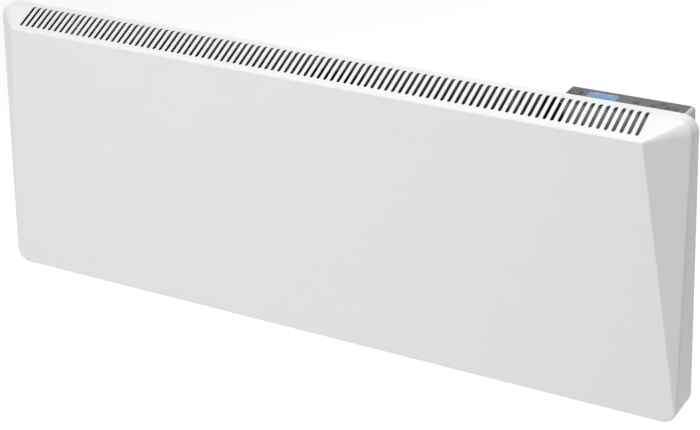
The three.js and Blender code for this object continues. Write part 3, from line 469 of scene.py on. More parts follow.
def copy_of_node(name: str, node: str) -> bpy.types.Object:
    """A welded copy of a node's mesh, with its flat faces joined.

    Args:
        name: The copy's name.
        node: The node.

    Returns:
        The copy, as an object of its own.
    """
    bm = bmesh.new()
    bm.from_mesh(frame["nodes"][node].data)
    bmesh.ops.remove_doubles(bm, verts=bm.verts, dist=0.001 * MM)
    bmesh.ops.dissolve_limit(
        bm, angle_limit=math.radians(0.5), verts=bm.verts, edges=bm.edges
    )
    return add_object(name, to_mesh(name, bm, AS_IS))


def turned(
    name: str, profile: Sequence[Pair], place: Matrix, sides: int = 40
) -> bpy.types.Object:
    """A turned piece.

    Args:
        name: The piece's name.
        profile: Pairs of radius and height, from one end of the axis to the other.
        place: From the piece's own frame, with z along the axis, to the cover's frame.
        sides: Steps of the turn.

    Returns:
        The piece.
    """
    bm = bmesh.new()
    rings = []
    for radius, height in profile:
        if radius < 1e-6:
            rings.append([bm.verts.new((0.0, 0.0, height))])
        else:
            ring = circle(0.0, 0.0, radius, sides)
            rings.append([bm.verts.new((x, y, height)) for x, y in ring])
    for low, high in zip(rings, rings[1:]):
        for step in range(sides):
            after = (step + 1) % sides
            corners = [low[step % len(low)], low[after % len(low)],
                       high[after % len(high)], high[step % len(high)]]
            distinct = list(dict.fromkeys(corners))
            if len(distinct) > 2:
                bm.faces.new(distinct)
    bmesh.ops.recalc_face_normals(bm, faces=bm.faces)
    return add_object(name, to_mesh(name, bm, ROW @ place))


def rounded(profile: Sequence[Pair], radius: float, steps: int = 4) -> list[Pair]:
    """Rounds the inner corners of an open profile.

    Args:
        profile: Points in a plane.
        radius: The rounding, cut back where the stretches are short.
        steps: Points round each corner.

    Returns:
        The rounded profile.
    """
    points = [Vector(p) for p in profile]
    result = [points[0]]
    for before, corner, after in zip(points, points[1:], points[2:]):
        back = min(radius, (before - corner).length / 2.2)
        on = min(radius, (after - corner).length / 2.2)
        start = corner + (before - corner).normalized() * back
        end = corner + (after - corner).normalized() * on
        for step in range(steps + 1):
            t = step / steps
            result.append((1 - t) ** 2 * start + 2 * t * (1 - t) * corner + t * t * end)
    result.append(points[-1])
    return [tuple(p) for p in result]


def circle(x: float, y: float, radius: float, sides: int = 48) -> list[Pair]:
    """Points round a circle."""
    turns = [2 * math.pi * step / sides for step in range(sides)]
    return [(x + radius * math.cos(t), y + radius * math.sin(t)) for t in turns]


def rounded_box(x: Pair, y: Pair, radius: float, steps: int = 4) -> list[Pair]:
    """Points round a rectangle with rounded corners.

    Args:
        x: Its left and right side.
        y: Its lower and upper side.
        radius: The rounding of its corners.
        steps: Stretches round each corner.

    Returns:
        The outline.
    """
    points = []
    corners = ((x[1], y[1], 0), (x[0], y[1], 1), (x[0], y[0], 2), (x[1], y[0], 3))
    for corner_x, corner_y, quarter in corners:
        middle_x = corner_x - math.copysign(radius, corner_x - sum(x) / 2)
        middle_y = corner_y - math.copysign(radius, corner_y - sum(y) / 2)
        for step in range(steps + 1):
            turn = math.pi / 2 * (quarter + step / steps)
            points.append((middle_x + radius * math.cos(turn), middle_y + radius * math.sin(turn)))
    return points


def plate(
    name: str,
    loops: Sequence[Sequence[Pair]],
    height: Pair,
    edge: float,
    place: Matrix = AS_IS,
) -> bpy.types.Object:
    """A flat piece with holes and rounded edges.

    Args:
        name: The piece's name.
        loops: The outline, then the holes.
        height: Its lower and upper face.
        edge: The rounding of its edges.
        place: From the piece's own frame to the cover's frame.

    Returns:
        The piece.
    """
    curve = bpy.data.curves.new(name, "CURVE")
    curve.dimensions = "2D"
    curve.fill_mode = "BOTH"
    curve.extrude = (height[1] - height[0]) / 2 - edge
    curve.bevel_depth = edge
    curve.bevel_resolution = 2
    curve.offset = -edge
    for loop in loops:
        spline = curve.splines.new("POLY")
        spline.points.add(len(loop) - 1)
        for point, (x, y) in zip(spline.points, loop):
            point.co = (x, y, 0.0, 1.0)
        spline.use_cyclic_u = True
    shape = add_object(name, curve)
    mesh = evaluated_mesh(shape)
    bpy.data.objects.remove(shape)
    bpy.data.curves.remove(curve)
    bm = bmesh.new()
    bm.from_mesh(mesh)
    bpy.data.meshes.remove(mesh)
    bmesh.ops.remove_doubles(bm, verts=bm.verts, dist=1e-4)
    bmesh.ops.recalc_face_normals(bm, faces=bm.faces)
    lift = Matrix.Translation((0, 0, sum(height) / 2))
    obj = add_object(name, to_mesh(name, bm, ROW @ place @ lift))
    even_shading(obj, 25.0)
    return obj


def carve(obj: bpy.types.Object, tool: bpy.types.Object) -> None:
    """Cuts one object out of another.

    Args:
        obj: The object that is cut.
        tool: The object that cuts, which is removed.
    """
    cut = obj.modifiers.new("cut", "BOOLEAN")
    cut.operation = "DIFFERENCE"
    cut.solver = "EXACT"
    cut.object = tool
    bake(obj)
    bpy.data.objects.remove(tool)


def merge(name: str, parts: Sequence[bpy.types.Object]) -> bpy.types.Object:
    """Joins objects into one and keeps their own finishes.

    Args:
        name: The name of the joined piece.
        parts: Objects at the origin, which are removed.

    Returns:
        The joined piece.
    """
    bm = bmesh.new()
    looks: list[bpy.types.Material] = []
    for part in parts:
        start = len(bm.faces)
        bm.from_mesh(part.data)
        bm.faces.ensure_lookup_table()
        own = part.data.materials[0] if part.data.materials else None
        if own not in looks:
            looks.append(own)
        for face in bm.faces[start:]:
            face.material_index = looks.index(own)
        bpy.data.objects.remove(part)
    mesh = to_mesh(name, bm, AS_IS)
    for look in looks:
        mesh.materials.append(look)
    return add_object(name, mesh)


@dataclass(frozen=True)
class Row:
    """A Geometry Nodes tree that repeats a piece along a line."""

    count: int
    first: Point
    step: Point
    weld: float = 0.0

    def tree(self) -> bpy.types.NodeTree:
        """Builds the shared tree once.

        Returns:
            The Geometry Nodes tree.
        """
        name = "repeat along a line"
        if name in bpy.data.node_groups:
            return bpy.data.node_groups[name]
        inputs = {
            "Geometry": "Geometry", "Count": "Int", "First": "Vector", "Step": "Vector",
            "Weld": "Float", "Finish": "Material",
        }
        tree = new_group(name, "GeometryNodeTree", inputs, {"Geometry": "Geometry"})
        make = NodeMaker(tree)
        given = make.add("NodeGroupInput").outputs
        line = {
            "Count": given["Count"], "Start Location": given["First"], "Offset": given["Step"],
        }
        points = make.add("GeometryNodeMeshLine", line).outputs[0]
        shape = given["Geometry"]
        for kind, entry, others in (
            ("InstanceOnPoints", "Instance", {"Points": points}),
            ("RealizeInstances", "Geometry", {}),
            ("MergeByDistance", "Geometry", {"Distance": given["Weld"]}),
            ("SetMaterial", "Geometry", {"Material": given["Finish"]}),
        ):
            shape = make.add(f"GeometryNode{kind}", {entry: shape, **others}).outputs[0]
        make.add("NodeGroupOutput", {"Geometry": shape})
        return tree

    def apply(self, obj: bpy.types.Object, look: Finish) -> None:
        """Repeats an object's mesh along the line, as a plain mesh.

        Args:
            obj: The object whose mesh is repeated.
            look: The finish that the tree sets.
        """
        tree = self.tree()
        modifier = obj.modifiers.new("row", "NODES")
        modifier.node_group = tree
        values = {
            "Count": self.count,
            "First": tuple(MM * v for v in self.first),
            "Step": tuple(MM * v for v in self.step),
            "Weld": MM * self.weld,
            "Finish": look.material(),
        }
        for item in tree.interface.items_tree:
            if item.in_out == "INPUT" and item.name in values:
                modifier[item.identifier] = values[item.name]
        bake(obj)


# Front cover


@dataclass
class FrontCover:
    """The folded sheet cover: facets, rounded corners, outlet slots and back rim."""

    width: float = 1048.0
    height: float = 400.0
    sheet: float = 1.2
    ridge_drop: float = 19.0
    ridge_depth: float = 60.3
    foot_depth: float = 54.6
    top_flat: float = 25.0
    facet_inset: float = 49.0
    corner: float = 20.0
    shoulder: float = 8.0
    ridge: float = 3.0
    foot: float = 4.0
    rim: float = 8.0
    rim_bend: float = 2.0
    rim_steps: int = 4
    pitch: float = 10.0
    slots: int = 94
    slot_width: float = 4.8
    slot_front: float = -52.0
    slot_back: float = -13.0
    slot_roll: float = 0.25
    roll_steps: int = 3
    end_steps: int = 8
    field_front: float = -54.2
    field_back: float = -9.0
    field_floor: float = 370.0
    upper_front: float = -58.0
    inlet_side: float = 480.0
    inlet_front: float = -46.0
    inlet_back: float = -20.0
    notch_left: float = 343.0
    notch_right: float = 506.4
    notch_floor: float = 390.0
    arc_steps: int = 20
    fillet_steps: int = 16
    ridge_steps: int = 24

    @property
    def half(self) -> float:
        """Half the cover's width."""
        return self.width / 2

    @property
    def field_side(self) -> float:
        """How far the slotted field reaches to each side."""
        return self.slots * self.pitch / 2

    @property
    def slot_ends(self) -> Pair:
        """Where the round ends of a slot have their centres."""
        radius = self.slot_width / 2
        return self.slot_front + radius, self.slot_back - radius

    @property
    def ridge_height(self) -> float:
        """How high the centre of the ridge's rounding lies."""
        slope = math.atan2(self.ridge_drop, self.ridge_depth - self.top_flat)
        drop = self.ridge * (1 - math.sin(slope)) / math.cos(slope)
        return self.height - self.ridge_drop - drop

    def ball(self, centre: Vector, radius: float, steps: int) -> list[Vector]:
        """Points on a ball.

        Args:
            centre: The ball's centre.
            radius: Its radius.
            steps: Steps from pole to pole.

        Returns:
            The points, with the poles last.
        """
        points = []
        for ring in range(1, steps):
            polar = math.pi * ring / steps
            for step in range(2 * steps):
                turn = math.pi * step / steps
                aim = Vector((
                    math.sin(polar) * math.cos(turn),
                    math.cos(polar),
                    math.sin(polar) * math.sin(turn),
                ))
                points.append(centre + radius * aim)
        points += [centre + Vector((0, radius, 0)), centre - Vector((0, radius, 0))]
        return points

    def corner_points(self, side: int, end: int, fillet: float, depth: float) -> list[Vector]:
        """Points along one rounded corner.

        Args:
            side: 1 at the right and -1 at the left.
            end: 1 at the top and -1 at the bottom.
            fillet: The rounding towards the front.
            depth: How far the corner reaches to the front.

        Returns:
            Points on its fillet and on the back edge.
        """
        points: list[Vector] = []
        middle = Vector((
            side * (self.half - self.corner),
            fillet - depth,
            self.corner if end < 0 else self.height - self.corner,
        ))
        for step in range(self.arc_steps + 1):
            turn = math.pi / 2 * step / self.arc_steps
            out = Vector((side * math.cos(turn), 0, end * math.sin(turn)))
            centre = middle + (self.corner - fillet) * out
            for part in range(self.fillet_steps + 1):
                lean = math.pi / 2 * part / self.fillet_steps
                aim = math.cos(lean) * out - math.sin(lean) * Vector((0, 1, 0))
                points.append(centre + fillet * aim)
            if step in (0, self.arc_steps):
                points += self.ball(centre, fillet, self.fillet_steps)
            rim = middle + self.corner * out
            points.append(Vector((rim.x, -self.rim_bend, rim.z)))
        return points

    def form_points(self) -> list[Vector]:
        """Points that the cover's skin is stretched over.

        Returns:
            Points on the ridge's ends, along the rounded corners and on the back edge.
        """
        points: list[Vector] = []
        for side in (-1, 1):
            ridge_end = Vector((
                side * (self.half - self.facet_inset),
                self.ridge - self.ridge_depth,
                self.ridge_height,
            ))
            points += self.ball(ridge_end, self.ridge, self.ridge_steps)
            points += self.corner_points(side, 1, self.shoulder, self.top_flat)
            points += self.corner_points(side, -1, self.foot, self.foot_depth)
        return points

    def outward(self, x: float, z: float) -> Vector:
        """The outward direction of the cover's outline at a point of its back edge.

        Args:
            x: The point's place across.
            z: The point's height.

        Returns:
            The direction, without a share to the front or back.
        """
        centre_x = max(-self.half + self.corner, min(self.half - self.corner, x))
        centre_z = max(self.corner, min(self.height - self.corner, z))
        out = Vector((x - centre_x, 0, z - centre_z))
        return out.normalized() if out.length > 1e-6 else Vector((0, 0, 1))

    def skin(self) -> bmesh.types.BMesh:
        """The outer skin, without its slotted field.

        Returns:
            An open mesh in the cover's frame.
        """
        bm = bmesh.new()
        for point in self.form_points():
            bm.verts.new(point)
        hull = bmesh.ops.convex_hull(bm, input=bm.verts)
        spare = {v for v in hull["geom_interior"] + hull["geom_unused"]
                 if isinstance(v, bmesh.types.BMVert)}
        spare |= {v for v in bm.verts if not v.link_faces}
        bmesh.ops.delete(bm, geom=list(spare), context="VERTS")
        back_line = -self.rim_bend - 0.5
        back = [f for f in bm.faces
                if f.normal.y > 0.9 and f.calc_center_median().y > back_line]
        bmesh.ops.delete(bm, geom=back, context="FACES_ONLY")
        bmesh.ops.dissolve_limit(
            bm, angle_limit=math.radians(0.4), verts=bm.verts, edges=bm.edges
        )
        self.open_field(bm)
        sides = (-self.inlet_side, self.inlet_side)
        self.take_out(
            bm, lambda face: face.normal.z < -0.99, sides, (self.inlet_front, self.inlet_back)
        )
        self.fold_rim(bm)
        return bm

    def take_out(
        self,
        bm: bmesh.types.BMesh,
        chosen: Callable[[bmesh.types.BMFace], bool],
        x_lines: Sequence[float],
        y_lines: Pair,
    ) -> None:
        """Cuts a window out of the chosen faces.

        Args:
            bm: The mesh.
            chosen: Tells whether a face is cut.
            x_lines: The window's left and right side, then where else the faces are cut.
            y_lines: The window's front and back side.
        """
        lines = [((x, 0, 0), (1, 0, 0)) for x in x_lines]
        lines += [((0, y, 0), (0, 1, 0)) for y in y_lines]
        for place, normal in lines:
            faces = [f for f in bm.faces if chosen(f)]
            edges = list({e for f in faces for e in f.edges})
            verts = list({v for f in faces for v in f.verts})
            bmesh.ops.bisect_plane(
                bm, geom=faces + edges + verts, plane_co=place, plane_no=normal, dist=1e-4
            )
        gone = []
        for face in bm.faces:
            middle = face.calc_center_median()
            inside = y_lines[0] < middle.y < y_lines[1] and x_lines[0] < middle.x < x_lines[1]
            if inside and chosen(face):
                gone.append(face)
        bmesh.ops.delete(bm, geom=gone, context="FACES")

    def open_field(self, bm: bmesh.types.BMesh) -> None:
        """Takes the slotted field out of the skin and divides its edges for the slots.

        Args:
            bm: The skin.
        """
        side = self.field_side

        def upper(face: bmesh.types.BMFace) -> bool:
            """Whether a face lies on top, behind the ridge."""
            middle = face.calc_center_median()
            high = middle.z > self.field_floor and middle.y > self.upper_front
            return face.normal.z > 0.8 and high

        depths = (self.field_front, self.field_back)
        self.take_out(bm, upper, (-side, side, self.notch_left), depths)
        for y in depths:
            rows = [
                e for e in bm.edges
                if e.is_boundary and all(abs(v.co.y - y) < CLOSE for v in e.verts)
                and all(v.co.z > self.field_floor for v in e.verts)
            ]
            for edge in rows:
                parts = round(edge.calc_length() / self.pitch)
                bmesh.ops.subdivide_edges(bm, edges=[edge], cuts=parts - 1)
        for y in self.slot_ends:
            for edge in list(bm.edges):
                low, high = sorted(edge.verts, key=lambda v: v.co.y)
                on_side = low.co.z > self.field_floor and any(
                    all(abs(v.co.x - x) < CLOSE for v in edge.verts) for x in (-side, side)
                )
                if on_side and edge.is_boundary and low.co.y < y < high.co.y:
                    share = (y - low.co.y) / (high.co.y - low.co.y)
                    bmesh.utils.edge_split(edge, low, share)

    def fold_rim(self, bm: bmesh.types.BMesh) -> None:
        """Folds the back rim inwards, and leaves it straight where the control unit passes.

        Args:
            bm: The skin.
        """
        start = -self.rim_bend
        passing, folded = [], []
        for edge in bm.edges:
            if edge.is_boundary and all(abs(v.co.y - start) < CLOSE for v in edge.verts):
                middle = (edge.verts[0].co + edge.verts[1].co) / 2
                across = self.notch_left < middle.x < self.notch_right
                clear = across and middle.z > self.notch_floor
                (passing if clear else folded).append(edge)
        straight = bmesh.ops.extrude_edge_only(bm, edges=passing)["geom"]
        for vert in straight:
            if isinstance(vert, bmesh.types.BMVert):
                vert.co.y = 0.0
        rings = []
        for step in range(1, self.rim_steps + 1):
            angle = math.pi / 2 * step / self.rim_steps
            rings.append((self.rim_bend * (1 - math.cos(angle)),
                          self.rim_bend * (math.sin(angle) - 1)))
        rings.append((self.sheet + self.rim, 0.0))
        inset = 0.0
        for reach, y in rings:
            made = bmesh.ops.extrude_edge_only(bm, edges=folded)["geom"]
            folded = [e for e in made if isinstance(e, bmesh.types.BMEdge)]
            for vert in {v for e in folded for v in e.verts}:
                vert.co -= (reach - inset) * self.outward(vert.co.x, vert.co.z)
                vert.co.y = y
            inset = reach

    def profile(self, bm: bmesh.types.BMesh) -> list[Station]:
        """The field's profile from front to back.

        Args:
            bm: The skin, with its field taken out.

        Returns:
            Pairs of a point at x = 0 and the outward normal there.
        """
        points = []
        for vert in bm.verts:
            if abs(vert.co.x - self.field_side) < CLOSE and self.in_field(vert):
                points.append(Vector((0, vert.co.y, vert.co.z)))
        points.sort(key=lambda p: p.y)
        return [(p, self.field_normal(p)) for p in points]

    def in_field(self, vert: bmesh.types.BMVert) -> bool:
        """Whether a corner of the skin lies on the slotted field or on its edge."""
        across = abs(vert.co.x) < self.field_side + CLOSE
        along = self.field_front - CLOSE < vert.co.y < self.field_back + CLOSE
        return across and along and vert.co.z > self.field_floor

    def field_normal(self, point: Vector) -> Vector:
        """The exact normal of the slotted field.

        Args:
            point: A point on the field.

        Returns:
            The outward normal there.
        """
        back = point.y - (self.shoulder - self.top_flat)
        lean = math.atan2(-back, point.z - (self.height - self.shoulder))
        lean = max(0.0, min(self.field_lean(), lean))
        return Vector((0, -math.sin(lean), math.cos(lean)))

    def field_lean(self) -> float:
        """How far the sloping grille leans forward, from the two fillets that it touches.

        Returns:
            The angle in radians.
        """
        run = (self.shoulder - self.top_flat) - (self.ridge - self.ridge_depth)
        rise = (self.height - self.shoulder) - self.ridge_height
        length = math.hypot(run, rise)
        return math.atan2(rise, run) + math.asin((self.shoulder - self.ridge) / length)

    def slot_edge(self, profile: list[Station], stations: list[Station], wide: float) -> list:
        """Points round a slot, from the front of its right side.

        Args:
            profile: The field's profile.
            stations: Its part along the slot's straight sides.
            wide: How far the points keep from the slot's middle line.

        Returns:
            Pairs of a point and the outward normal there.
        """
        spots: list[Station] = []
        for side, places, outer in ((1, stations, -1), (-1, stations[::-1], 0)):
            spots += [(p + Vector((side * wide, 0, 0)), n) for p, n in places]
            p, n = places[-1]
            way = (profile[outer][0] - p).normalized()
            for turn in range(1, self.end_steps):
                angle = math.pi * turn / self.end_steps
                across = Vector((side * wide * math.cos(angle), 0, 0))
                spots.append((p + across + way * wide * math.sin(angle), n))
        return spots

    def slot_cell(self, profile: list[Station]) -> bmesh.types.BMesh:
        """One pitch of the slotted field: a slot with rolled edges, and the sheet round it.

        Args:
            profile: The field's profile.

        Returns:
            The cell, with both sides of the sheet, about x = 0.
        """
        bm = bmesh.new()
        front, back = self.slot_ends
        stations = [(p, n) for p, n in profile if front - CLOSE < p.y < back + CLOSE]
        rings = []
        for step in range(self.roll_steps + 1):
            angle = math.pi / 2 * step / self.roll_steps
            rings.append((self.slot_roll * (1 - math.sin(angle)),
                          self.slot_roll * (1 - math.cos(angle))))
        rings.append((0.0, self.sheet))
        loops = []
        for out, depth in rings:
            spots = self.slot_edge(profile, stations, self.slot_width / 2 + out)
            loops.append([bm.verts.new(p - depth * n) for p, n in spots])
        size = len(loops[0])
        for upper, under in zip(loops, loops[1:]):
            for i in range(size):
                j = (i + 1) % size
                bm.faces.new((upper[i], upper[j], under[j], under[i]))
        self.surround(bm, loops[0], stations, profile, 0.0)
        self.surround(bm, loops[-1], stations, profile, self.sheet)
        return bm

    def surround(
        self,
        bm: bmesh.types.BMesh,
        ring: list[bmesh.types.BMVert],
        stations: list[Station],
        profile: list[Station],
        depth: float,
    ) -> None:
        """Fills one side of the sheet between a slot's edge and the cell's edge.

        Args:
            bm: The cell's mesh.
            ring: The slot's edge, right side first.
            stations: The profile along the straight part of the slot.
            profile: The whole profile.
            depth: How far the side lies under the skin. An under side faces inwards.
        """
        count = len(stations)
        turns = self.end_steps - 1

        def spot(side: int, place: Station) -> bmesh.types.BMVert:
            """A new corner on the cell's edge."""
            p, n = place
            return bm.verts.new(p + Vector((side * self.pitch / 2, 0, 0)) - depth * n)

        right = [spot(1, s) for s in stations]
        left = [spot(-1, s) for s in reversed(stations)]
        faces = []
        for i in range(count - 1):
            faces.append((right[i], right[i + 1], ring[i + 1], ring[i]))
            k = count + turns + i
            faces.append((left[i], left[i + 1], ring[k + 1], ring[k]))
        back = [spot(1, profile[-1]), spot(-1, profile[-1])]
        front = [spot(-1, profile[0]), spot(1, profile[0])]
        arc = ring[count - 1:count + turns + 1]
        faces.append((right[-1], *back, left[0], *reversed(arc)))
        arc = ring[2 * count + turns - 1:] + [ring[0]]
        faces.append((left[-1], *front, right[0], *reversed(arc)))
        for corners in faces:
            bm.faces.new(corners[::-1] if depth else corners)

    def thicken(self, bm: bmesh.types.BMesh) -> None:
        """Gives the skin its sheet thickness, and leaves the slotted field's edges open.

        Args:
            bm: The skin.
        """
        bm.normal_update()
        inner = {}
        for vert in list(bm.verts):
            normal = self.field_normal(vert.co) if self.in_field(vert) else vert.normal
            inner[vert] = bm.verts.new(vert.co - self.sheet * normal)
        walls = [[inner[v] for v in reversed(face.verts)] for face in bm.faces]
        for edge in bm.edges:
            if edge.is_boundary and not all(self.in_field(v) for v in edge.verts):
                loop = edge.link_loops[0]
                first, second = loop.vert, loop.link_loop_next.vert
                walls.append((second, first, inner[first], inner[second]))
        for corners in walls:
            bm.faces.new(corners)

    def build(self) -> bpy.types.Object:
        """Builds, dresses and ties the cover.

        Returns:
            The finished piece.
        """
        bm = self.skin()
        profile = self.profile(bm)
        self.thicken(bm)
        skin = add_object("front_cover_skin", to_mesh("front_cover_skin", bm))
        cell = self.slot_cell(profile)
        cells = add_object("slotted_field", to_mesh("slotted_field", cell))
        first = -(self.slots - 1) / 2 * self.pitch
        Row(self.slots, (first, 0, 0), (self.pitch, 0, 0), 0.01).apply(cells, WHITE_ENAMEL)
        joined = bmesh.new()
        for part in (skin, cells):
            joined.from_mesh(part.data)
            bpy.data.objects.remove(part)
        bmesh.ops.remove_doubles(joined, verts=joined.verts, dist=0.03 * MM)
        cover = add_object("cover_sheet", to_mesh("cover_sheet", joined, AS_IS))
        even_shading(cover)
        return settle(cover, HEATER, WHITE_ENAMEL, ["front_cover"])


# Frame nodes that keep their form


def dress_kept_nodes(taken: set[str]) -> None:
    """Gives every node that no piece stands for the finish of its slot.

    Args:
        taken: The nodes that a piece stands for.
    """
    for entry in frame["record"]["subparts"]:
        node, slot = entry["node"], entry["material_slot"]
        if node in taken:
            continue
        obj = frame["nodes"][node]
        obj.data.materials.clear()
        obj.data.materials.append(FINISHES[slot].material())
        LOG.info("node %s: %s", node, slot)


@dataclass(frozen=True)
class SoftenedNode:
    """A piece with a node's own form and softened edges."""

    name: str
    node: str
    body: str
    look: Finish
    width: float

    def build(self) -> bpy.types.Object:
        """Builds, dresses and ties the piece.

        Returns:
            The piece.
        """
        obj = copy_of_node(self.name, self.node)
        soften(obj, self.width)
        even_shading(obj)
        return settle(obj, self.body, self.look, [self.node])


# Control unit


class Mark(Enum):
    """The plain mark on a key. An arrow's value is the angle that it points to."""

    POWER = "power"
    LINES = "lines"
    LEFT = 180
    UP = 90
    RIGHT = 0
    DOWN = 270
    ROUND = "round"


@dataclass(frozen=True)
class Key:
    """One key of the control unit, with its mark."""

    name: str
    x: float
    y: float
    radius: float
    mark: Mark
    proud: float = 0.6
    length: float = 8.0
    flange_top: float = -2.3
    mark_share: float = 0.68
    mark_depth: float = 0.3
    mark_relief: float = 0.04

    def cap(self) -> bpy.types.Object:
        """The turned cap: a dished top, a rounded rim, a flange and a stem.

        Returns:
            The cap.
        """
        r, top, low = self.radius, self.proud, self.flange_top
        profile = [
            (0.0, top - 0.16), (r * 0.5, top - 0.12), (r - 0.75, top),
            (r, top), (r, low), (r + 1.0, low), (r + 1.0, low - 1.0),
            (r - 1.0, low - 1.0), (r - 1.0, -self.length), (0.0, -self.length),
        ]
        return turned(f"{self.name}_cap", rounded(profile, 0.4), ControlUnit.at(self.x, self.y))

    def shapes(self) -> list[list[list[Pair]]]:
        """The mark's flat forms.

        Returns:
            For each form its outline and its holes.
        """
        size = self.radius * self.mark_share
        if self.mark is Mark.LINES:
            rows = (-size * 0.8, 0.0, size * 0.8)
            return [[rounded_box((-size, size), (y - 0.22, y + 0.22), 0.1, 2)] for y in rows]
        if self.mark is Mark.ROUND:
            return [[circle(0, 0, size, 32), circle(0, 0, size * 0.6, 32)]]
        if self.mark is Mark.POWER:
            turns = [math.radians(a) for a in range(125, 416, 10)]
            outer = [(size * math.cos(t), size * math.sin(t)) for t in turns]
            inner = [(0.78 * x, 0.78 * y) for x, y in reversed(outer)]
            return [[outer + inner], [rounded_box((-0.28, 0.28), (0.2, size * 1.12), 0.1, 2)]]
        turns = [math.radians(self.mark.value + a) for a in (0, 120, 240)]
        return [[[(size * math.cos(t), size * math.sin(t)) for t in turns]]]

    def build(self) -> bpy.types.Object:
        """Builds the key with its mark, and ties it to its own body.

        Returns:
            The key.
        """
        cap = self.cap()
        cap.data.materials.append(KEY_PLASTIC.material())
        parts = [cap]
        heights = (self.proud - self.mark_depth, self.proud + self.mark_relief)
        for number, loops in enumerate(self.shapes()):
            name = f"{self.name}_mark_{number}"
            part = plate(name, loops, heights, 0.03, ControlUnit.at(self.x, self.y))
            part.data.materials.append(KEY_INK.material())
            parts.append(part)
        key = merge(f"{self.name}_with_mark", parts)
        even_shading(key)
        body = self.name.replace("key_", "") + "_button"
        return settle(key, body, KEY_PLASTIC, [self.name])


@dataclass
class ControlUnit:
    """The grey unit behind the cover's top right corner."""

    length: float = 155.0
    front: float = 0.5
    back: float = 33.0
    thickness: float = 2.0
    corner: float = 0.8
    clearance: float = 0.3
    ring_gap: float = 0.45
    ring_reach: float = 2.3
    window_depth: float = 3.3
    display_x: Pair = (25.0, 66.0)
    display_y: Pair = (6.5, 27.5)
    keys: tuple[Key, ...] = (
        Key("key_standby", 11.2, 17.0, 6.6, Mark.POWER),
        Key("key_menu", 90.0, 17.0, 3.6, Mark.LINES),
        Key("key_left", 113.0, 17.0, 3.6, Mark.LEFT),
        Key("key_up", 122.0, 25.5, 3.6, Mark.UP),
        Key("key_right", 131.0, 17.0, 3.6, Mark.RIGHT),
        Key("key_down", 122.0, 8.5, 3.6, Mark.DOWN),
        Key("key_enter", 141.0, 17.0, 3.6, Mark.ROUND),
    )

    @staticmethod
    def at(x: float, y: float) -> Matrix:
        """The place of a point on the fascia's upper face, in the cover's frame."""
        return Matrix.Translation((UNIT_LEFT + x, y, FASCIA_TOP))

    def fascia(self) -> None:
        """The fascia plate with its window and key holes, and the ring round the standby key."""
        window = rounded_box(self.display_x, self.display_y, self.corner)
        holes = [circle(k.x, k.y, k.radius + self.clearance) for k in self.keys]
        outline = rounded_box((0.0, self.length), (self.front, self.back), self.corner)
        heights = (-self.thickness, 0.0)
        top = plate("fascia_plate", [outline, window, *holes], heights, 0.35, self.at(0, 0))
        settle(top, HEATER, FASCIA_PLASTIC, ["control_fascia"])
        standby = self.keys[0]
        reaches = (self.ring_reach, self.ring_gap)
        loops = [circle(standby.x, standby.y, standby.radius + reach) for reach in reaches]
        ring = plate("standby_ring", loops, (-0.4, 0.15), 0.06, self.at(0, 0))
        settle(ring, HEATER, FASCIA_INK, [])

    def lens(self) -> None:
        """The clear window over the display."""
        (x0, x1), (y0, y1), gap = self.display_x, self.display_y, self.clearance
        glass = rounded_box((x0 + gap, x1 - gap), (y0 + gap, y1 - gap), 0.6)
        heights = (-self.window_depth, 0.0)
        lens = plate("display_window", [glass], heights, 0.3, self.at(0, 0))
        settle(lens, HEATER, DISPLAY_LENS, ["display_lens"])

    def build(self) -> None:
        """Builds every visible piece of the unit."""
        self.fascia()
        self.lens()
        for key in self.keys:
            key.build()
        SoftenedNode("housing_shell", "control_housing", HEATER, HOUSING_PLASTIC, 0.5).build()


# Fasteners and fittings


@dataclass(frozen=True)
class PanScrew:
    """A pan head screw with a cross recess."""

    length: float
    head: float = 3.6
    height: float = 1.8
    shank: float = 1.8
    core: float = 0.8
    pitch: float = 0.9
    tip: float = 0.9

    def build(self, name: str, place: Matrix) -> bpy.types.Object:
        """Builds one screw with its head below its own origin.

        Args:
            name: The screw's name.
            place: From the screw's frame, with its shank along z, to the cover's frame.

        Returns:
            The screw.
        """
        core = self.shank * self.core
        profile = [(0.0, -self.height), (self.head * 0.55, -self.height * 0.97),
                   (self.head * 0.86, -self.height * 0.72), (self.head, -self.height * 0.3),
                   (self.head, 0.0), (core, 0.0)]
        for turn in range(int((self.length - self.tip - 0.3) / self.pitch)):
            base = 0.3 + turn * self.pitch
            profile += [(core, base), (self.shank, base + self.pitch * 0.45)]
        profile += [(core, self.length - self.tip), (0.3, self.length), (0.0, self.length)]
        screw = turned(name, profile, place, 32)
        for angle in (0.0, math.pi / 2):
            blade = rounded_box((-2.1, 2.1), (-0.42, 0.42), 0.2, 2)
            spin = Matrix.Rotation(angle, 4, "Z")
            heights = (-self.height - 1.0, -self.height + 1.1)
            carve(screw, plate("blade", [blade], heights, 0.05, place @ spin))
        even_shading(screw)
        return screw


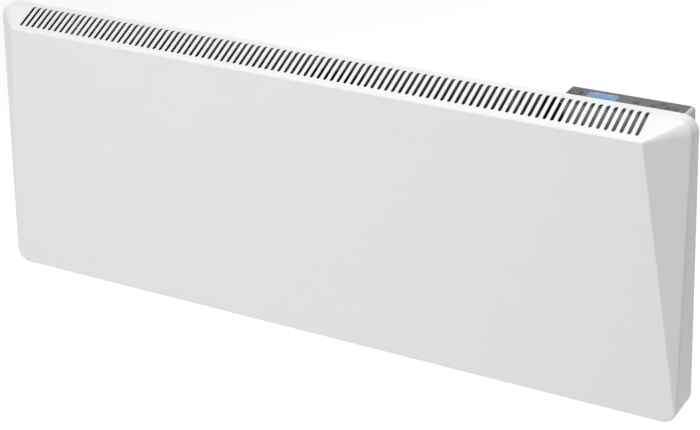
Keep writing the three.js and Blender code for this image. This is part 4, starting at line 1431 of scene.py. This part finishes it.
@dataclass(frozen=True)
class Fittings:
    """Screws, wall spacers, gland, corner foam and foot catches."""

    cover_screw: Point = (-434.0, -8.0, -0.3)
    cover_screw_span: float = 868.0
    housing_screw_step: float = 132.0
    spacer: Point = (470.0, -1.7, 45.0)
    spacer_length: float = 37.4
    gland_base: Point = (487.0, 15.0, 327.7)
    foam_layers: tuple[tuple[float, Pair], ...] = (
        (320.3, (345.6, 393.0)), (330.0, (336.0, 345.8)),
    )

    def screws(self) -> None:
        """The cover's four screws and the housing's two screws, each in a row."""
        left, y, z = self.cover_screw
        four = PanScrew(8.0).build("cover_screws", Matrix.Translation((0.0, y, z)))
        Row(4, (left, 0, 0), (self.cover_screw_span / 3, 0, 0)).apply(four, SCREW_STEEL)
        settle(four, HEATER, SCREW_STEEL, [f"screw_cover_{n}" for n in range(1, 5)])
        low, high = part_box("screw_housing_1")
        middle = ROW.inverted() @ ((low + high) / 2)
        flat = Matrix.Rotation(math.pi / 2, 4, "X")
        screw = PanScrew(6.0)
        reach = (high.y - low.y) / MM
        under_head = middle.y + reach / 2 - screw.height
        base = Matrix.Translation((0.0, under_head, middle.z)) @ flat
        two = screw.build("housing_screws", base)
        Row(2, (middle.x, 0, 0), (self.housing_screw_step, 0, 0)).apply(two, SCREW_STEEL)
        settle(two, HEATER, SCREW_STEEL, ["screw_housing_1", "screw_housing_2"])

    def spacers(self) -> None:
        """The two wall spacers: a broad foot, a taper and a rounded tip with grip rings."""
        profile = [(0.0, 0.0), (12.0, 0.0), (12.0, 3.0), (8.0, 6.0)]
        for step in range(6):
            base = 10.0 + 3.6 * step
            profile += [(8.0, base), (7.4, base + 0.6), (7.4, base + 1.6), (8.0, base + 2.2)]
        profile += [(8.0, self.spacer_length), (0.0, self.spacer_length)]
        back = Matrix.Rotation(-math.pi / 2, 4, "X")
        across, y, z = self.spacer
        for side, x in (("left", -across), ("right", across)):
            place = Matrix.Translation((x, y, z)) @ back
            spacer = turned(f"spacer_{side}", rounded(profile, 0.7, 3), place, 56)
            even_shading(spacer)
            settle(spacer, HEATER, BLACK_PLASTIC, [f"wall_spacer_{side}"])

    def gland(self) -> None:
        """The cable gland: a chamfered hexagon and a threaded tube with a collar."""
        hexagon = [(4.2, 0.0), (7.4, 0.0), (9.0, 0.9), (9.0, 6.2), (7.9, 7.0), (4.2, 7.0)]
        spin = Matrix.Rotation(math.pi / 6, 4, "Z")
        base = Matrix.Translation(self.gland_base)
        head = turned("gland_head", hexagon, base @ spin, 6)
        tube = [(4.2, 6.0), (7.6, 6.0), (7.6, 10.0), (6.0, 10.0)]
        for step in range(7):
            tube += [(5.6, 10.4 + 1.2 * step), (6.0, 11.0 + 1.2 * step)]
        tube += [(6.0, 19.3), (4.2, 19.3), (4.2, 6.0)]
        stem = turned("gland_stem", tube, base, 48)
        gland = merge("gland_body", [head, stem])
        even_shading(gland)
        settle(gland, HEATER, BLACK_PLASTIC, ["cable_gland"])

    def corner_foam(self) -> None:
        """The foam strip that closes the panel's open corner and wraps the housing's edge."""
        layers = []
        for left, heights in self.foam_layers:
            outline = [
                (left, -5.1), (342.7, -5.1), (342.7, -17.3), (353.7, -17.3),
                (353.7, -14.3), (345.7, -14.3), (345.7, -1.5), (left, -1.5),
            ]
            layers.append(plate(f"foam_{left}", [outline], heights, 0.4))
        settle(merge("corner_foam", layers), HEATER, FOAM_AND_PAINTED_SHADE, ["gap_seal"])

    def catches(self) -> None:
        """The two foot catches, with softened edges."""
        for side in ("left", "right"):
            names = (f"{side}_turning_catch", f"catch_{side}", f"{side}_catch")
            SoftenedNode(*names, BLACK_PLASTIC, 0.4).build()

    def build(self) -> None:
        """Builds every fitting."""
        self.screws()
        self.spacers()
        self.gland()
        self.corner_foam()
        self.catches()


# Studio


@dataclass(frozen=True)
class Lamp:
    """A soft square lamp, with its side in metres and its power in watts."""

    name: str
    place: Point
    aim: Point
    size: float
    power: float

    def build(self) -> None:
        """Adds the lamp to the scene."""
        data = bpy.data.lights.new(self.name, "AREA")
        data.shape = "SQUARE"
        data.size = self.size
        data.energy = self.power
        lamp = add_object(self.name, data)
        lamp.location = self.place
        way = Vector(self.aim) - Vector(self.place)
        lamp.rotation_mode = "QUATERNION"
        lamp.rotation_quaternion = way.to_track_quat("-Z", "Y")


@dataclass(frozen=True)
class Studio:
    """The camera, the lamps, the pale floor and the plain world, in metres and degrees."""

    place: Point = (1.24423, -2.00818, 0.99051)
    yaw: float = -31.46
    pitch: float = 24.19
    roll: float = -2.95
    focal_pixels: float = 1904.45
    picture_width: float = 700.0
    shift: float = -0.10
    sensor: float = 36.0
    view_reach: float = 100.0
    floor_height: float = -0.62
    floor_half: float = 30.0
    floor_tone: float = 0.86
    floor_lift: float = 0.50
    floor_fade: Pair = (1.5, 4.0)
    ambient: float = 0.28
    lamps: tuple[Lamp, ...] = (
        Lamp("top_lamp", (0.4, -0.15, 2.2), (0.1, 0.0, 0.0), 1.4, 32.0),
        Lamp("front_lamp", (-0.55, -2.6, 0.8), (0.0, 0.0, 0.0), 1.6, 31.0),
        Lamp("back_lamp", (0.4, 3.2, 1.0), (0.0, 0.0, 0.0), 2.0, 12.0),
    )

    def camera(self) -> None:
        """Makes the camera at the photograph's viewing angle."""
        data = bpy.data.cameras.new("camera")
        data.sensor_width = self.sensor
        data.lens = self.focal_pixels / self.picture_width * self.sensor
        data.shift_y = self.shift
        data.clip_end = self.view_reach
        yaw, pitch, roll = (math.radians(a) for a in (self.yaw, self.pitch, self.roll))
        forward = Vector((
            math.sin(yaw) * math.cos(pitch), math.cos(yaw) * math.cos(pitch), -math.sin(pitch)
        ))
        level = Vector((math.cos(yaw), -math.sin(yaw), 0))
        upright = level.cross(forward)
        right = math.cos(roll) * level + math.sin(roll) * upright
        top = -math.sin(roll) * level + math.cos(roll) * upright
        turn = Matrix((right, top, -forward)).transposed().to_4x4()
        camera = add_object("camera", data)
        camera.matrix_world = Matrix.Translation(self.place) @ turn
        bpy.context.scene.camera = camera

    def floor(self) -> None:
        """Makes the pale floor, which keeps the object's shadow and fades out far away."""
        bm = bmesh.new()
        bmesh.ops.create_grid(bm, x_segments=1, y_segments=1, size=self.floor_half)
        lower = Matrix.Translation((0, 0, self.floor_height))
        floor = add_object("floor", to_mesh("floor", bm, lower))
        material = bpy.data.materials.new("pale_floor")
        make = fresh_nodes(material)
        seen = make.seen()
        matt = make.add("ShaderNodeBsdfDiffuse", {"Color": (*(self.floor_tone,) * 3, 1.0)})
        strength = make.math("MULTIPLY", seen, self.floor_lift)
        lift = make.add("ShaderNodeEmission", {"Strength": strength})
        both = make.add("ShaderNodeAddShader", {0: matt.outputs[0], 1: lift.outputs[0]})
        place = make.add("ShaderNodeTexCoord").outputs["Object"]
        reach = make.add("ShaderNodeVectorMath", {0: place}, operation="LENGTH").outputs["Value"]
        near, far = self.floor_fade
        fade = make.add(
            "ShaderNodeMapRange",
            {"Value": reach, "From Min": near, "From Max": far},
            interpolation_type="SMOOTHSTEP",
        ).outputs[0]
        under = make.add("ShaderNodeNewGeometry").outputs["Backfacing"]
        gone = make.math("MULTIPLY", make.math("MAXIMUM", fade, under), seen)
        open_air = make.add("ShaderNodeBsdfTransparent").outputs[0]
        mixed = make.add("ShaderNodeMixShader", {0: gone, 1: both.outputs[0], 2: open_air})
        make.add("ShaderNodeOutputMaterial", {"Surface": mixed.outputs[0]})
        floor.data.materials.append(material)
        floor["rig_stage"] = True

    def world(self) -> None:
        """Makes the plain world: white to look at, and dimmer as a light."""
        world = bpy.data.worlds.new("studio")
        bpy.context.scene.world = world
        make = fresh_nodes(world)
        strength = make.math("MULTIPLY_ADD", make.seen(), 1.0 - self.ambient, self.ambient)
        sky = {"Color": (1.0, 1.0, 1.0, 1.0), "Strength": strength}
        back = make.add("ShaderNodeBackground", sky)
        make.add("ShaderNodeOutputWorld", {"Surface": back.outputs[0]})

    def build(self) -> None:
        """Builds the whole studio."""
        self.camera()
        self.floor()
        self.world()
        for lamp in self.lamps:
            lamp.build()
        bpy.context.scene.view_settings.view_transform = "Standard"


# Assembly


SHEETS = (
    SoftenedNode("bracket_sheet", "wall_bracket", "bracket", BRACKET_STEEL, 0.5),
    SoftenedNode("panel_sheet", "back_panel", HEATER, ZINC_SHEET, 0.25),
    SoftenedNode("inlet_mesh", "inlet_grille", HEATER, BLACK_PLASTIC, 0.4),
)


def main() -> None:
    """Builds the sub-assemblies in order and reports each piece."""
    logging.basicConfig(level=logging.INFO, format="%(message)s")
    for assembly in (Studio(), FrontCover(), ControlUnit(), Fittings(), *SHEETS):
        assembly.build()
    dress_kept_nodes({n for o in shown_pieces() for n in o.get("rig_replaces", [])})


if __name__ == "__main__":
    main()
